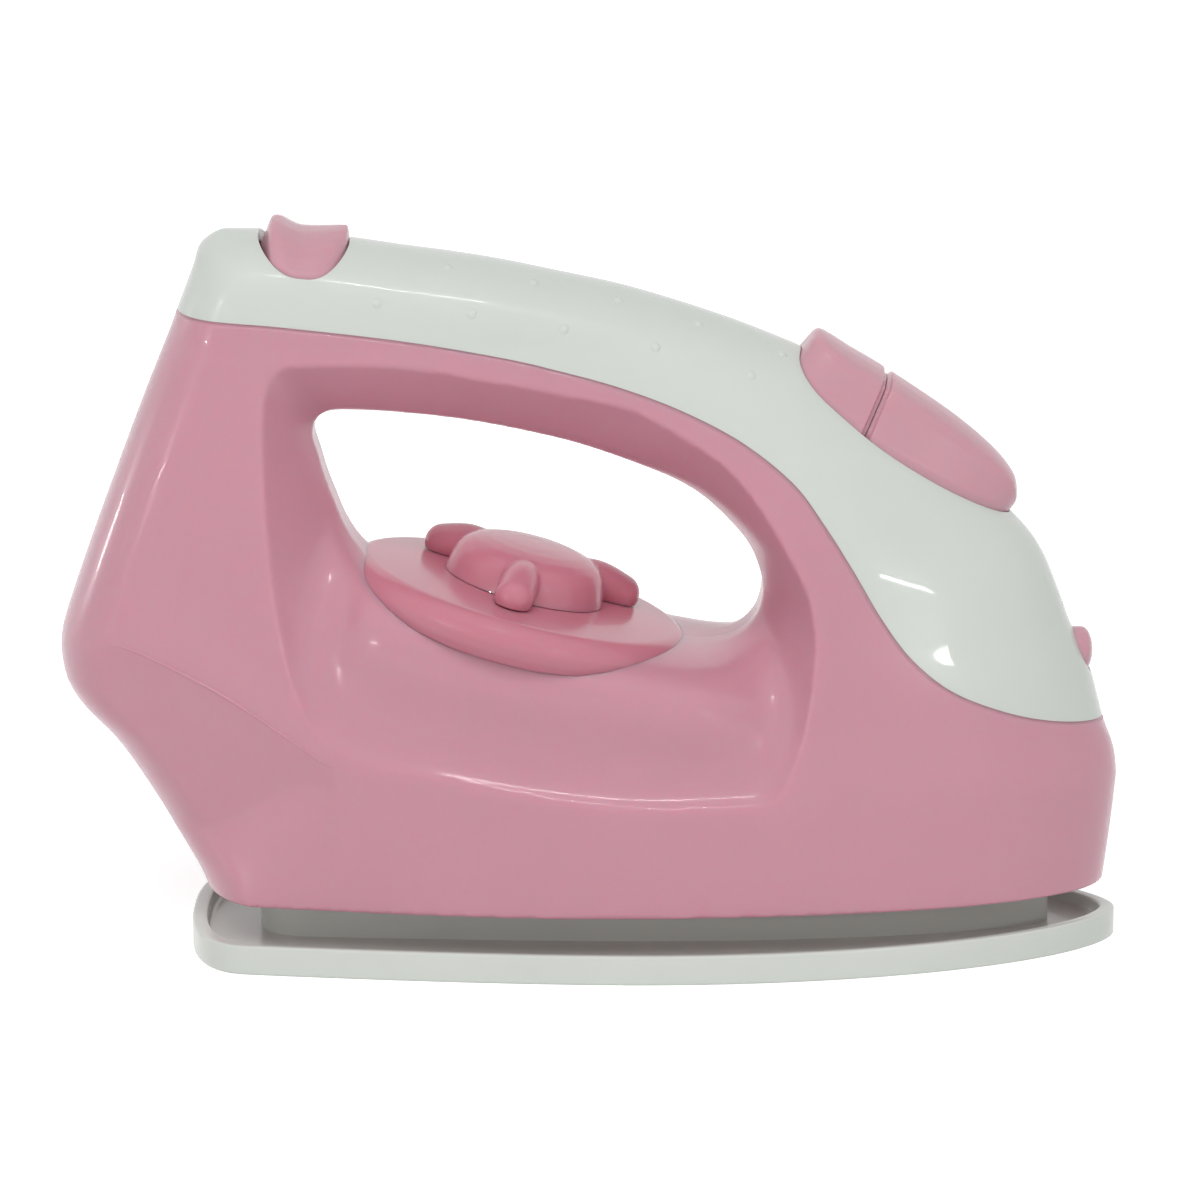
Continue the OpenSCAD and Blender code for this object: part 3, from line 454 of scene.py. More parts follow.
def crease_z(x):
    t = skirt_slope(x)
    return (FACET_LEAN*shoulder_z(x) - HALF_W*DRAFT + LIFT*t)/(FACET_LEAN + t)


def side(x, z):
    """Half width of the body's flank, before its ends and top are rounded."""
    top = shoulder_z(x)
    plain = shoulder_y(x) - HALF_W*DRAFT*(top - z)/(top - LIFT)
    low = np.where(x < FACET*HALF_L, np.maximum(facet(x, z), skirt(x, z)), plain)
    rise = clamp((z - top)/(HANDLE_SHARE*BODY_H - top))
    high = mix(shoulder_y(x), HANDLE_W/2, rise**HANDLE_BEND)
    return np.where(z < top, low, high)


def half_at(x, z, o=solid_line):
    """Half width of the form at a point of the side view."""
    a = np.maximum(0, lookup(z, o.front) - x)
    b = np.maximum(0, lookup(x, o.top) - z)
    edge = a*b/np.maximum(np.hypot(a, b), TINY)
    corner = (clamp((FACET - x/HALF_L)/CORNER_SPAN)
              * clamp((shoulder_z(x) - z)/(CORNER_SPAN*BODY_H)))
    return ((side(x, z) - o.inset*(1 + CORNER_EXTRA*corner))
            * closing(x - lookup(z, o.rear), REAR_ROUND*HALF_L - o.inset)
            * closing(edge, lookup(z, round_line) - o.inset))


def settle(z, line):
    """Height at which the crease meets the rear or front line."""
    for _ in range(CREASE_ROUNDS):
        z = float(crease_z(lookup(z, line)))
    return z


def patch_row(o, u, s, low, high, low_line, high_line):
    """Row of a patch between the rear and front lines and a lower and an upper line."""
    def ends(a, b):
        return (np.array([lookup(a, o.rear), a]), np.array([lookup(b, o.front), b]))
    (bl, br), (tl, tr) = ends(*low), ends(*high)
    left, right = ends(mix(low[0], high[0], u), mix(low[1], high[1], u))
    s = s[:, None]
    b, t = mix(bl, br, s), mix(tl, tr, s)
    b = np.stack([b[:, 0], low_line(b[:, 0])], 1)
    t = np.stack([t[:, 0], high_line(t[:, 0])], 1)
    return mix(left, right, s) + mix(b, t, u) - mix(mix(bl, br, s), mix(tl, tr, s), u)


def form_rows(o, columns, low_rows, high_rows):
    """Side-view rows of the form: skirt, rear facet, and up to the top line."""
    s = (1 - np.cos(np.pi*np.arange(columns + 1)/columns))/2
    foot = LIFT + o.inset
    middle = (settle(CREASE_GUESS*BODY_H, o.rear), settle(CREASE_GUESS*BODY_H, o.front))
    corner = (REAR_HIGH[0][1]*BODY_H, NOSE_HIGH[0][1]*BODY_H)
    top = (o.rear[-1][0], TOP[0][1]*BODY_H - o.inset)
    rows = [patch_row(o, u, s, (foot, foot), middle, lambda x: foot + 0*x, crease_z)
            for u in np.arange(low_rows)/low_rows]
    rows += [patch_row(o, u, s, middle, corner, crease_z, shoulder_z)
             for u in np.arange(2*low_rows)/low_rows/2]
    rows += [patch_row(o, math.sin(math.pi/2*j/high_rows), s, corner, top, shoulder_z,
                       lambda x: lookup(x, o.top)) for j in range(high_rows + 1)]
    return np.array(rows)


def added(name, data):
    """New object in the scene."""
    made = bpy.data.objects.new(name, data)
    bpy.context.scene.collection.objects.link(made)
    return made


def mesh_object(name, points, faces):
    """Closed mesh object from points in millimetres."""
    mesh = bpy.data.meshes.new(name)
    mesh.from_pydata([tuple(map(float, p)) for p in np.asarray(points)*MM], [], faces)
    work = bmesh.new()
    work.from_mesh(mesh)
    bmesh.ops.remove_doubles(work, verts=work.verts, dist=WELD*MM)
    bmesh.ops.dissolve_degenerate(work, edges=work.edges, dist=SLIVER*MM)
    bmesh.ops.recalc_face_normals(work, faces=work.faces)
    work.to_mesh(mesh)
    work.free()
    return added(name, mesh)


def bake(obj):
    """Applies the object's modifiers."""
    depsgraph = bpy.context.evaluated_depsgraph_get()
    mesh = bpy.data.meshes.new_from_object(obj.evaluated_get(depsgraph))
    obj.modifiers.clear()
    obj.data = mesh
    return obj


def combine(obj, tool, operation="DIFFERENCE", keep=False):
    """Cuts the tool from the object, joins it or intersects with it."""
    cut = obj.modifiers.new("combine", "BOOLEAN")
    cut.object = tool
    cut.operation = operation
    cut.solver = "MANIFOLD"
    bake(obj)
    if not keep:
        bpy.data.objects.remove(tool)
    return obj


def copy_of(obj, name):
    return added(name, obj.data.copy())


def soften(obj, voxel, rounds):
    """Even mesh with its edges rounded a little, as a moulded part has."""
    remesh = obj.modifiers.new("remesh", "REMESH")
    remesh.mode = "VOXEL"
    remesh.voxel_size = voxel*MM
    relax = obj.modifiers.new("relax", "SMOOTH")
    relax.factor = RELAX
    relax.iterations = rounds
    return bake(obj)


def grid_faces(rows, columns, start=0, around=False):
    """Quads between rows of points; around joins the last column to the first."""
    wide = columns if around else columns - 1
    return [(start + j*columns + i, start + j*columns + (i + 1) % columns,
             start + (j + 1)*columns + (i + 1) % columns, start + (j + 1)*columns + i)
            for j in range(rows - 1) for i in range(wide)]


def tube(name, rings):
    """Closed tube through rings of points, with a flat cap at each end."""
    rings = np.asarray(rings)
    count, wide = rings.shape[:2]
    caps = [tuple(range(wide))[::-1], tuple(range((count - 1)*wide, count*wide))]
    return mesh_object(name, rings.reshape(-1, 3), grid_faces(count, wide, around=True) + caps)


def turns(count):
    """Angles of even steps once round."""
    return 2*np.pi*np.arange(count)/count


def quarter(step):
    """Angles of a quarter turn, by steps in degrees."""
    return np.radians(np.arange(0, 91, step))


def circle(r, z, sides):
    return [(r*math.cos(a), r*math.sin(a), z) for a in turns(sides)]


def lathe(name, profile, sides=96):
    """Solid turned about Z from (radius, height) points; both ends are on the axis."""
    return tube(name, [circle(r, z, sides) for r, z in profile])


def cylinder(name, r, z0, z1, sides=48):
    return tube(name, [circle(r, z, sides) for z in (z0, z1)])


def block(name, low, high):
    (x0, y0, z0), (x1, y1, z1) = low, high
    return tube(name, [[(x0, y0, z), (x1, y0, z), (x1, y1, z), (x0, y1, z)] for z in (z0, z1)])


def place(obj, at, turn=(0, 0, 0)):
    """Moves the object's mesh to a place in millimetres."""
    obj.data.transform(Matrix.Translation(Vector(at)*MM) @ Euler(turn).to_matrix().to_4x4())
    return obj


def shade(obj, angle=PLAIN_ANGLE):
    obj.data.shade_smooth()
    obj.data.set_sharp_from_angle(angle=math.radians(angle))
    return obj


def form(name, o, columns, low_rows, high_rows):
    """Whole form, from its rows on both sides."""
    rows = form_rows(o, columns, low_rows, high_rows)
    count, wide = rows.shape[:2]
    half = half_at(rows[..., 0], rows[..., 1], o)
    half[:, [0, -1]] = 0
    half[-1] = 0
    right = np.stack([rows[..., 0], -half, rows[..., 1]], 2).reshape(-1, 3)
    left = right*[1, -1, 1]
    n = len(right)
    faces = grid_faces(count, wide) + [f[::-1] for f in grid_faces(count, wide, n)]
    faces += [(i + 1, i, n + i, n + i + 1) for i in range(wide - 1)]
    return mesh_object(name, np.vstack([right, left]), faces)


def opening_tool(grow, fine, levels):
    """Tool for the handle opening and its scooped flanks; grow moves its walls outward."""
    ribs = smooth(OPENING[-1:] + OPENING + OPENING[:2], fine)[fine:fine*(len(OPENING) + 1)]
    a, d = ribs[:, 0:2]*[HALF_L, BODY_H], ribs[:, 2:4]*[HALF_L, BODY_H]
    out = (d - a)/np.linalg.norm(d - a, axis=1)[:, None]
    ya = THROAT_W/2
    yd = half_at(d[:, 0], d[:, 1])
    deck = clamp(ribs[:, 4])[:, None]
    c1, c2 = mix(BEVEL[0], DECK[0], deck), mix(BEVEL[1], DECK[1], deck)
    rings = []
    for v in np.linspace(0, 1, levels):
        share = 3*v*(1 - v)*((1 - v)*c1 + v*c2) + v**3
        p = mix(a, d, share[:, :1]) + grow*out
        y = np.maximum(THROAT_LEFT*ya, mix(ya, yd, share[:, 1]) - GROW_ASIDE*grow)
        rings.append(np.stack([p[:, 0], y, p[:, 1]], 1))
    step = rings[-1] - rings[-2]
    run = (HALF_W + 2*WALL - rings[-1][:, 1])/np.maximum(LEAST_RISE/levels, step[:, 1])
    rings.append(rings[-1] + step*run[:, None])
    rings = rings[::-1]
    return tube("opening", rings + [r*[1, -1, 1] for r in rings[::-1]])


def above_seam(gap):
    """Everything above the seam, raised by a gap."""
    line = shifted(seam_line, gap)
    corners = [(HALF_L*BEYOND, BODY_H*2), (-HALF_L*BEYOND, BODY_H*2)]
    loop = [*line, *corners]
    return tube("above", [[(x, y, z) for x, z in loop] for y in (2*HALF_W, -2*HALF_W)])


def seam_chamfer():
    """Thin diamond swept round the seam, which takes the edge off the housing below it."""
    x0 = float(lookup(lookup(SEAM_ENDS[0]*HALF_L, seam_line), solid_line.rear))
    x1 = float(lookup(lookup(SEAM_ENDS[1]*HALF_L, seam_line), solid_line.front))
    x = mix(x0, x1, (1 - np.cos(np.pi*np.arange(CHAMFER_STEPS + 1)/CHAMFER_STEPS))/2)
    z = lookup(x, seam_line)
    y = half_at(x, z)
    y[0] = y[-1] = 0
    near = np.stack([x, -y, z], 1)
    path = np.vstack([near, (near*[1, -1, 1])[-2:0:-1]])
    path = path[np.linalg.norm(path - np.roll(path, 1, 0), axis=1) > LEAST_STEP]
    along = np.roll(path, -1, 0) - np.roll(path, 1, 0)
    slope = np.interp(path[:, 0], x, np.gradient(z, x + NUDGE*np.arange(len(x))))
    up = np.stack([-slope, 0*slope, 0*slope + 1], 1)
    up /= np.linalg.norm(up, axis=1)[:, None]
    out = np.cross(along, up)
    out /= np.linalg.norm(out, axis=1)[:, None]
    rings = np.stack([path + out*CHAMFER, path + up*CHAMFER,
                      path - out*CHAMFER, path - up*CHAMFER], 1)
    n = len(rings)
    faces = [(4*i + j, 4*i + (j + 1) % 4, 4*((i + 1) % n) + (j + 1) % 4, 4*((i + 1) % n) + j)
             for i in range(n) for j in range(4)]
    return mesh_object("chamfer", rings.reshape(-1, 3), faces)


def lip(inset, low, high):
    """Band of the body behind the seam, inset from its surface."""
    whole = soften(form("lip", Outline(inset), *LIP_FINE), *LIP_SOFT)
    band = combine(whole, above_seam(low), "INTERSECT")
    return combine(band, above_seam(high))


def at_dial(obj):
    return place(obj, (DIAL_X, 0, DIAL_Z), (0, DIAL_TILT, 0))


def at_caps(obj):
    return place(obj, (CAPS_X, 0, lookup(CAPS_X, solid_line.top)), (0, CAPS_SLOPE, 0))


def at_thumb(obj):
    return place(obj, (THUMB_X, 0, lookup(THUMB_X, solid_line.top)))


def post_holes(r, y0, y1):
    """Cylinders across the body at the screw posts."""
    return [place(cylinder("post", r, y0, y1, POST_SIDES), (x*HALF_L, 0, z*BODY_H),
                  (-math.pi/2, 0, 0)) for x, z in POSTS]


def hollow():
    """Space inside the shells, with the posts left standing."""
    space = soften(form("space", cavity_line, *SPACE_FINE), *SPACE_SOFT)
    combine(space, opening_tool(WALL, *SPACE_OPENING_FINE))
    combine(space, dial_pocket(WALL))
    for post in post_holes(POST_R, -2*HALF_W, 2*HALF_W):
        combine(space, post)
    for x, y in SOLE_POSTS:
        post = cylinder("post", POST_R, LIFT, LIFT + POST_L + 2*WALL, SOLE_POST_SIDES)
        combine(space, place(post, (x, y, 0)))
    return space


def dial_pocket(grow=0):
    """Space that the dial plate fills between the halves."""
    profile = [(r + grow + CONTACT, z - grow - CONTACT) for r, z in PLATE_FOOT]
    profile += [(r + grow + CONTACT, z + grow + CONTACT) for r, z in plate_rim()]
    profile = [(AXIS_R, profile[0][1]), *profile, (AXIS_R, profile[-1][1])]
    return at_dial(lathe("pocket", profile, PLATE_SIDES))


def plate_rim():
    """Half section of the plate's soft rim, from its wall to its flat top."""
    edge = PLATE_EDGE
    return [(PLATE_R - edge + edge*math.cos(a), -PLATE_DROP - edge + edge*math.sin(a))
            for a in quarter(PLATE_STEP)]


def facet_edge(m):
    """Thin round bead along the top edge of the rear facet, which keeps that edge crisp."""
    t = np.linspace(0, 1, EDGE_STEPS)
    x = mix(EDGE_START, FACET, t)*HALF_L
    z = shoulder_z(x)
    path = np.stack([x, m*(half_at(x, z) - EDGE_SINK), z], 1)
    r = EDGE_R*np.sin(np.pi*(EDGE_TIP + (1 - 2*EDGE_TIP)*t))**0.5
    along = np.gradient(path, axis=0)
    aside = np.cross(along, (0, 0, 1))
    up = np.cross(aside, along)
    aside /= np.linalg.norm(aside, axis=1)[:, None]
    up /= np.linalg.norm(up, axis=1)[:, None]
    ring = turns(EDGE_SIDES)
    return tube("edge", [p + w*(np.outer(np.cos(ring), a) + np.outer(np.sin(ring), b))
                         for p, w, a, b in zip(path, r, aside, up)])


def soft_body():
    """Whole body with its handle opening and softened edges, which the shells are cut from."""
    made = combine(form("body", solid_line, *BODY_FINE), opening_tool(0, *OPENING_FINE))
    soften(made, *BODY_SOFT)
    for m in (-1, 1):
        combine(made, facet_edge(m), "UNION")
    return made


def housing():
    """Both halves of the housing: the body below the seam, hollow, and parted at the middle."""
    shell = copy_of(body, "shell")
    combine(shell, above_seam(0))
    combine(shell, seam_chamfer())
    combine(shell, lip(LIP_INSET, -OVER, LIP_H), "UNION")
    combine(shell, dial_pocket())
    combine(shell, space, keep=True)
    combine(shell, at_dial(cylinder("bore", HUB_R + FIT_GAP, -2*PLATE_T, 0)))
    halves = []
    for m, name in ((-1, "housing_right"), (1, "housing_left")):
        half = copy_of(shell, name)
        y0, y1 = sorted((m*PARTING, m*2*HALF_W))
        combine(half, block("side", (-2*HALF_L, y0, 0), (2*HALF_L, y1, 2*BODY_H)), "INTERSECT")
        halves.append(half)
    bpy.data.objects.remove(shell)
    right, left = halves
    for hole in post_holes(HEAD_R + FIT_GAP, POST_L + OVER, 2*HALF_W):
        combine(left, hole)
    for obj, node in ((right, "right_housing"), (left, "left_housing")):
        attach(shade(obj, SHELL_ANGLE), "housing")
        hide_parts(node)
    return right, left


def cap_rows(ends, count, plan, top, length, across=14):
    """Rows of points across a button, from its outline and its height."""
    shares = np.sin(np.pi/2*np.arange(-across, across + 1)/across)
    rows = []
    for i in range(count + 1):
        t = mix(ends[0], ends[1], (1 - math.cos(math.pi*i/count))/2)
        rows.append([(t*length, plan(t)*s, top(t, abs(s))) for s in shares])
    return np.array(rows)


def caps_plan(t):
    """Half width of the front buttons at a share t of their length."""
    return CAPS_W/2*lookup(t, smooth(CAPS_PLAN, CAP_STEPS))


def caps_top(t, w):
    """Height of the front buttons at shares t along and w across."""
    crown, foot = (CAPS_H*lookup(t, smooth(s, CAP_STEPS)) for s in (CAPS_CROWN, CAPS_FOOT))
    return mix(crown, foot, lookup(w, CAPS_SECTION))


def thumb_plan(t):
    return THUMB_SPAN*(1 - min(1, abs(2*t))**THUMB_BLUNT)**(1/THUMB_BLUNT)


def thumb_top(t, w):
    crown = lookup(t, smooth(THUMB_CROWN, CAP_STEPS))
    return THUMB_H*(crown - THUMB_DROP*lookup(w, THUMB_SECTION))


def caps_grid(inset=0):
    return cap_rows(CAPS_ENDS, CAPS_ROWS, lambda t: np.maximum(LEAST_HALF, caps_plan(t) - inset),
                    lambda t, w: caps_top(t, w) - inset, CAPS_L)


def thumb_grid():
    return cap_rows(THUMB_ENDS, THUMB_ROWS, thumb_plan, thumb_top, THUMB_L)


def border(rows, grow):
    """Outline of a button's rows, grown by a gap."""
    loop = np.vstack([rows[:, 0, :2], rows[::-1, -1, :2]])
    centre = loop.mean(0)
    edge = np.roll(loop, -1, 0) - np.roll(loop, 1, 0)
    out = np.stack([edge[:, 1], -edge[:, 0]], 1)/np.linalg.norm(edge, axis=1)[:, None]
    out *= np.where(((loop - centre)*out).sum(1) < 0, -1, 1)[:, None]
    return loop + grow*out


def well(rows, z0, z1):
    """Hole that a button goes up and down in."""
    loop = border(rows, BUTTON_GAP)
    return tube("well", [[(x, y, z) for x, y in loop] for z in (z0, z1)])


def cap_solid(name, rows, deep):
    """Solid below a button's rows, down to a flat foot."""
    count, wide = rows.shape[:2]
    low = rows.copy()
    low[..., 2] = -deep
    n = count*wide
    top = grid_faces(count, wide)
    faces = top + [tuple(n + i for i in f[::-1]) for f in top]
    rim = (list(range(wide)) + [j*wide + wide - 1 for j in range(1, count)]
           + [(count - 1)*wide + i for i in range(wide - 2, -1, -1)]
           + [j*wide for j in range(count - 2, 0, -1)])
    faces += [(b, a, n + a, n + b) for a, b in zip(rim, rim[1:] + rim[:1])]
    return mesh_object(name, np.vstack([rows.reshape(-1, 3), low.reshape(-1, 3)]), faces)


def cover():
    """White cover: the body above the seam, hollow, with the buttons' wells and the bore."""
    made = copy_of(body, "cover")
    combine(made, above_seam(SEAM_GAP), "INTERSECT")
    combine(made, grip_bumps(), "UNION")
    combine(made, lip(LIP_INSET - LIP_ROOM, -OVER, LIP_H + LIP_HEADROOM))
    combine(made, space, keep=True)
    combine(made, at_caps(well(caps_grid(), -2*CAPS_DEEP, 2*CAPS_DEEP)))
    combine(made, at_thumb(well(thumb_grid(), -THUMB_WELL, 2*CAPS_DEEP)))
    bore = cylinder("bore", NOZZLE_HEAD_R + CONTACT, -2*NOZZLE_R, 2*HALF_L)
    combine(made, place(bore, nozzle_place(), (0, math.pi/2, 0)))
    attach(shade(made, SHELL_ANGLE), "housing")
    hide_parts("top_cover")
    return made


def grip_bumps():
    """Low round bumps on both sides of the cover."""
    points, faces = [], []
    round_r = (BUMP_R**2 + BUMP_H**2)/2/BUMP_H
    profile = [(AXIS_R, -OVER), (BUMP_R, -OVER)]
    profile += [(r, math.sqrt(round_r**2 - r*r) - round_r + BUMP_H)
                for r in np.linspace(BUMP_R, AXIS_R, BUMP_RINGS)]
    for x, down in BUMPS:
        z = float(lookup(x, solid_line.top)) - down
        step = 0.2
        dx = (half_at(x + step, z) - half_at(x - step, z))/2/step
        dz = (half_at(x, z + step) - half_at(x, z - step))/2/step
        for m in (-1, 1):
            out = Vector((-dx, m, -dz)).normalized()
            turn = out.to_track_quat("Z", "Y").to_matrix()
            start = len(points)
            foot = Vector((x, m*float(half_at(x, z)), z))
            for r, h in profile:
                points += [turn @ Vector(q) + foot for q in circle(r, h, BUMP_SIDES)]
            faces += grid_faces(len(profile), BUMP_SIDES, start, around=True)
            faces += [tuple(range(start, start + BUMP_SIDES))[::-1],
                      tuple(range(len(points) - BUMP_SIDES, len(points)))]
    return mesh_object("bumps", points, faces)


def nozzle_place():
    return (float(lookup(NOZZLE_Z, solid_line.front)) + NOZZLE_OUT, 0, NOZZLE_Z)


def stem(length):
    return cylinder("stem", PIN_R, -length, 0, PIN_SIDES)


def spring_pocket(deep):
    """Room round a button's stem for its spring."""
    return cylinder("pocket", PIN_R + SPRING_ROOM, -2*deep, -OVER)


def groove_side(m, width):
    """Everything on one side of the leaning groove."""
    far = 2*HALF_L
    x0, x1 = sorted((m*width/2, m*far))
    return place(block("groove", (x0, -far, -far), (x1, far, far)), (GROOVE_AT, 0, 0),
                 (0, -GROOVE_LEAN, 0))


def front_buttons():
    """The spray and steam buttons, one crowned form parted by the leaning groove."""
    pair = []
    for m, name, node, body_name, t in ((-1, "button_spray", "spray_button", "spray", STEMS[0]),
                                        (1, "button_steam", "steam_button", "steam", STEMS[1])):
        made = combine(cap_solid(name, caps_grid(), CAPS_DEEP), groove_side(m, GROOVE_W),
                       "INTERSECT")
        core = combine(cap_solid("core", caps_grid(GROOVE_DEEP), CAPS_DEEP - OVER),
                       groove_side(m, GROOVE_GAP), "INTERSECT")
        combine(made, core, "UNION")
        soften(made, *CAPS_SOFT)
        combine(made, place(spring_pocket(CAPS_DEEP), (t*CAPS_L, 0, 0)))
        combine(made, place(stem(CAPS_STEM_L), (t*CAPS_L, 0, 0)), "UNION")
        at_caps(made)
        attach(shade(made, CAP_ANGLE), body_name)
        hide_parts(node)
        pair.append(made)
    return pair


def thumb_button():
    """Saddle-shaped button on the handle."""
    made = soften(cap_solid("button_thumb", thumb_grid(), THUMB_DEEP), *THUMB_SOFT)
    combine(made, spring_pocket(THUMB_DEEP))
    combine(made, stem(THUMB_STEM_L), "UNION")
    at_thumb(made)
    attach(shade(made, CAP_ANGLE), "thumb")
    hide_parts("thumb_button")
    return made


def dial_plate():
    """Shallow dome with a broad soft rim, on its hub and flange."""
    flat = PLATE_R - PLATE_EDGE
    dome = [(r, -PLATE_DROP*((r - DOME_START)/(flat - DOME_START))**2)
            for r in np.linspace(flat - DOME_MARGIN, DOME_START, DOME_RINGS)]
    low = -PLATE_T - HUB_L
    profile = [(STEM_R + STEM_GAP, low), (FLANGE_R, low), (FLANGE_R, low + FLANGE_T),
               (HUB_R, low + FLANGE_T), (HUB_R, -PLATE_T),
               (PLATE_FOOT[0][0] - FOOT_STEP, -PLATE_T), *PLATE_FOOT]
    profile += plate_rim() + dome + [(STEM_R + STEM_GAP, 0)]
    rings = np.array([circle(r, z, PLATE_SIDES) for r, z in profile])
    wide = PLATE_SIDES
    last = (len(rings) - 1)*wide
    faces = grid_faces(len(rings), wide, around=True)
    faces += [(last + i, last + (i + 1) % wide, (i + 1) % wide, i) for i in range(wide)]
    made = at_dial(mesh_object("dial_disc", rings.reshape(-1, 3), faces))
    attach(shade(made), "housing")
    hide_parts("dial_plate")
    return made


def lobe():
    """Round bar that leaves the puck level and bends down to a round end."""
    r = LOBE_W/2
    end = np.array([LOBE_R - r, LOBE_END])
    elbow = end + LOBE_ARM*np.array([-math.cos(LOBE_SLOPE), math.sin(LOBE_SLOPE)])
    path = smooth([(0, elbow[1]), (LOBE_BEND_AT*elbow[0], elbow[1]), elbow, end], LOBE_STEPS)
    way = np.array([math.cos(LOBE_SLOPE), -math.sin(LOBE_SLOPE)])
    stops = [(p, r) for p in path] + [(end + way*r*math.sin(a), r*math.cos(a))
                                      for a in quarter(LOBE_END_STEP)[1:]]
    rings = []
    for i, (p, w) in enumerate(stops):
        step = stops[min(i + 1, len(stops) - 1)][0] - stops[max(i - 1, 0)][0]
        ahead = step/np.linalg.norm(step)
        rings.append([(p[0] - ahead[1]*w*math.cos(b), w*math.sin(b),
                       p[1] + ahead[0]*w*math.cos(b)) for b in turns(LOBE_SIDES)])
    return tube("lobe", rings)


def knob():
    """Domed puck with three rounded lobes."""
    made = lathe("knob", [(AXIS_R, -OVER), (PUCK_R, -OVER)]
                 + [(r*PUCK_R, z*KNOB_H) for r, z in PUCK])
    for i in range(LOBES):
        turn = math.radians(KNOB_ANGLE + 360/LOBES*i)
        combine(made, place(lobe(), (0, 0, 0), (0, 0, turn)), "UNION")
    soften(made, *KNOB_SOFT)
    combine(made, cylinder("foot", 2*LOBE_R, -2*LOBE_W, KNOB_GAP))
    combine(made, cylinder("stem", STEM_R, -PLATE_T - HUB_L - FIT_GAP, KNOB_H/2), "UNION")
    combine(made, cylinder("pilot", DIAL_SCREW_R, -2*PLATE_T, PILOT_TOP))
    at_dial(made)
    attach(shade(made, CAP_ANGLE), "dial")
    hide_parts("dial_knob")
    return made


def nozzle():
    """Small nozzle with a low domed head."""
    r = NOZZLE_HEAD_R
    profile = [(max(AXIS_R, r*math.cos(a)), -NOZZLE_DOME*r*(1 - math.sin(a)))
               for a in quarter(NOZZLE_STEP)[::-1]]
    profile += [(r, -NOZZLE_L/2), (NOZZLE_R, -NOZZLE_L/2), (NOZZLE_R, -NOZZLE_L),
                (AXIS_R, -NOZZLE_L)]
    made = place(lathe("nozzle", profile, NOZZLE_SIDES), nozzle_place(), (0, math.pi/2, 0))
    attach(shade(made), "housing")
    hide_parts("spray_nozzle")
    return made


def sole_loop(inset, ends, count=96):
    """Outline of the soleplate in plan, inset at its sides and ends."""
    x0 = HALF_L - SOLE_L + ends
    x1 = HALF_L - ends
    long = x1 - x0
    x = mix(x0, x1, (1 - np.cos(np.pi*np.arange(count + 1)/count))/2)
    front = (1 - (1 - clamp((x1 - x)/(SOLE_WIDE*long)))**2)**SOLE_POINT
    drawn = np.maximum(0, x1 - SOLE_WIDE*long - x)/(long - SOLE_WIDE*long)
    rear = 1 - SOLE_REAR*drawn**SOLE_DRAW
    corner = (1 - (1 - clamp((x - x0)/(CORNER*long)))**CORNER_BLUNT)**(1/CORNER_BLUNT)
    y = (SOLE_W/2 - inset)*front*rear*corner
    y[0] = y[-1] = 0
    near = np.stack([x, y], 1)
    return np.vstack([near, (near*[1, -1])[-2:0:-1]])


def ring_at(inset, ends, z):
    return [(x, y, z) for x, y in sole_loop(inset, ends)]


def soleplate():
    """Rimmed tray with rounded edges and a raised plinth, hollow from below."""
    r = RIM_ROUND
    k = INNER_ROUND
    edge = [(r*(1 - math.cos(a)), r*(1 - math.sin(a))) for a in quarter(SOLE_STEP)[::-1]]
    rings = [ring_at(i, i, z) for i, z in edge]
    rings += [ring_at(i, i, RIM_H - z) for i, z in edge[::-1]]
    rings += [ring_at(RIM_T - i, RIM_END - i, RIM_H - z) for i, z in edge]
    rings += [ring_at(RIM_T + i*k, RIM_END + i*k, FLOOR_T + z*k) for i, z in edge[::-1]]
    made = tube("tray", rings)
    plinth = tube("plinth", [ring_at(PLINTH_INSET, PLINTH_ENDS, z)
                             for z in (FLOOR_T - OVER, LIFT)])
    combine(made, plinth, "UNION")
    combine(made, tube("under", [ring_at(PLINTH_INSET + WALL, PLINTH_ENDS + 2*WALL, z)
                                 for z in (-OVER, LIFT - WALL)]))
    for x, y in SOLE_POSTS:
        hole = cylinder("hole", SCREW_R + HOLE_GAP, -OVER, LIFT + OVER, SOLE_POST_SIDES)
        combine(made, place(hole, (x, y, 0)))
    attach(shade(made, SHELL_ANGLE), "housing")
    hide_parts("soleplate")
    return made


def colour(r, g, b):
    """Linear colour from an sRGB colour in 0 to 255."""
    return tuple(((c/255 + 0.055)/1.055)**2.4 for c in (r, g, b)) + (1,)


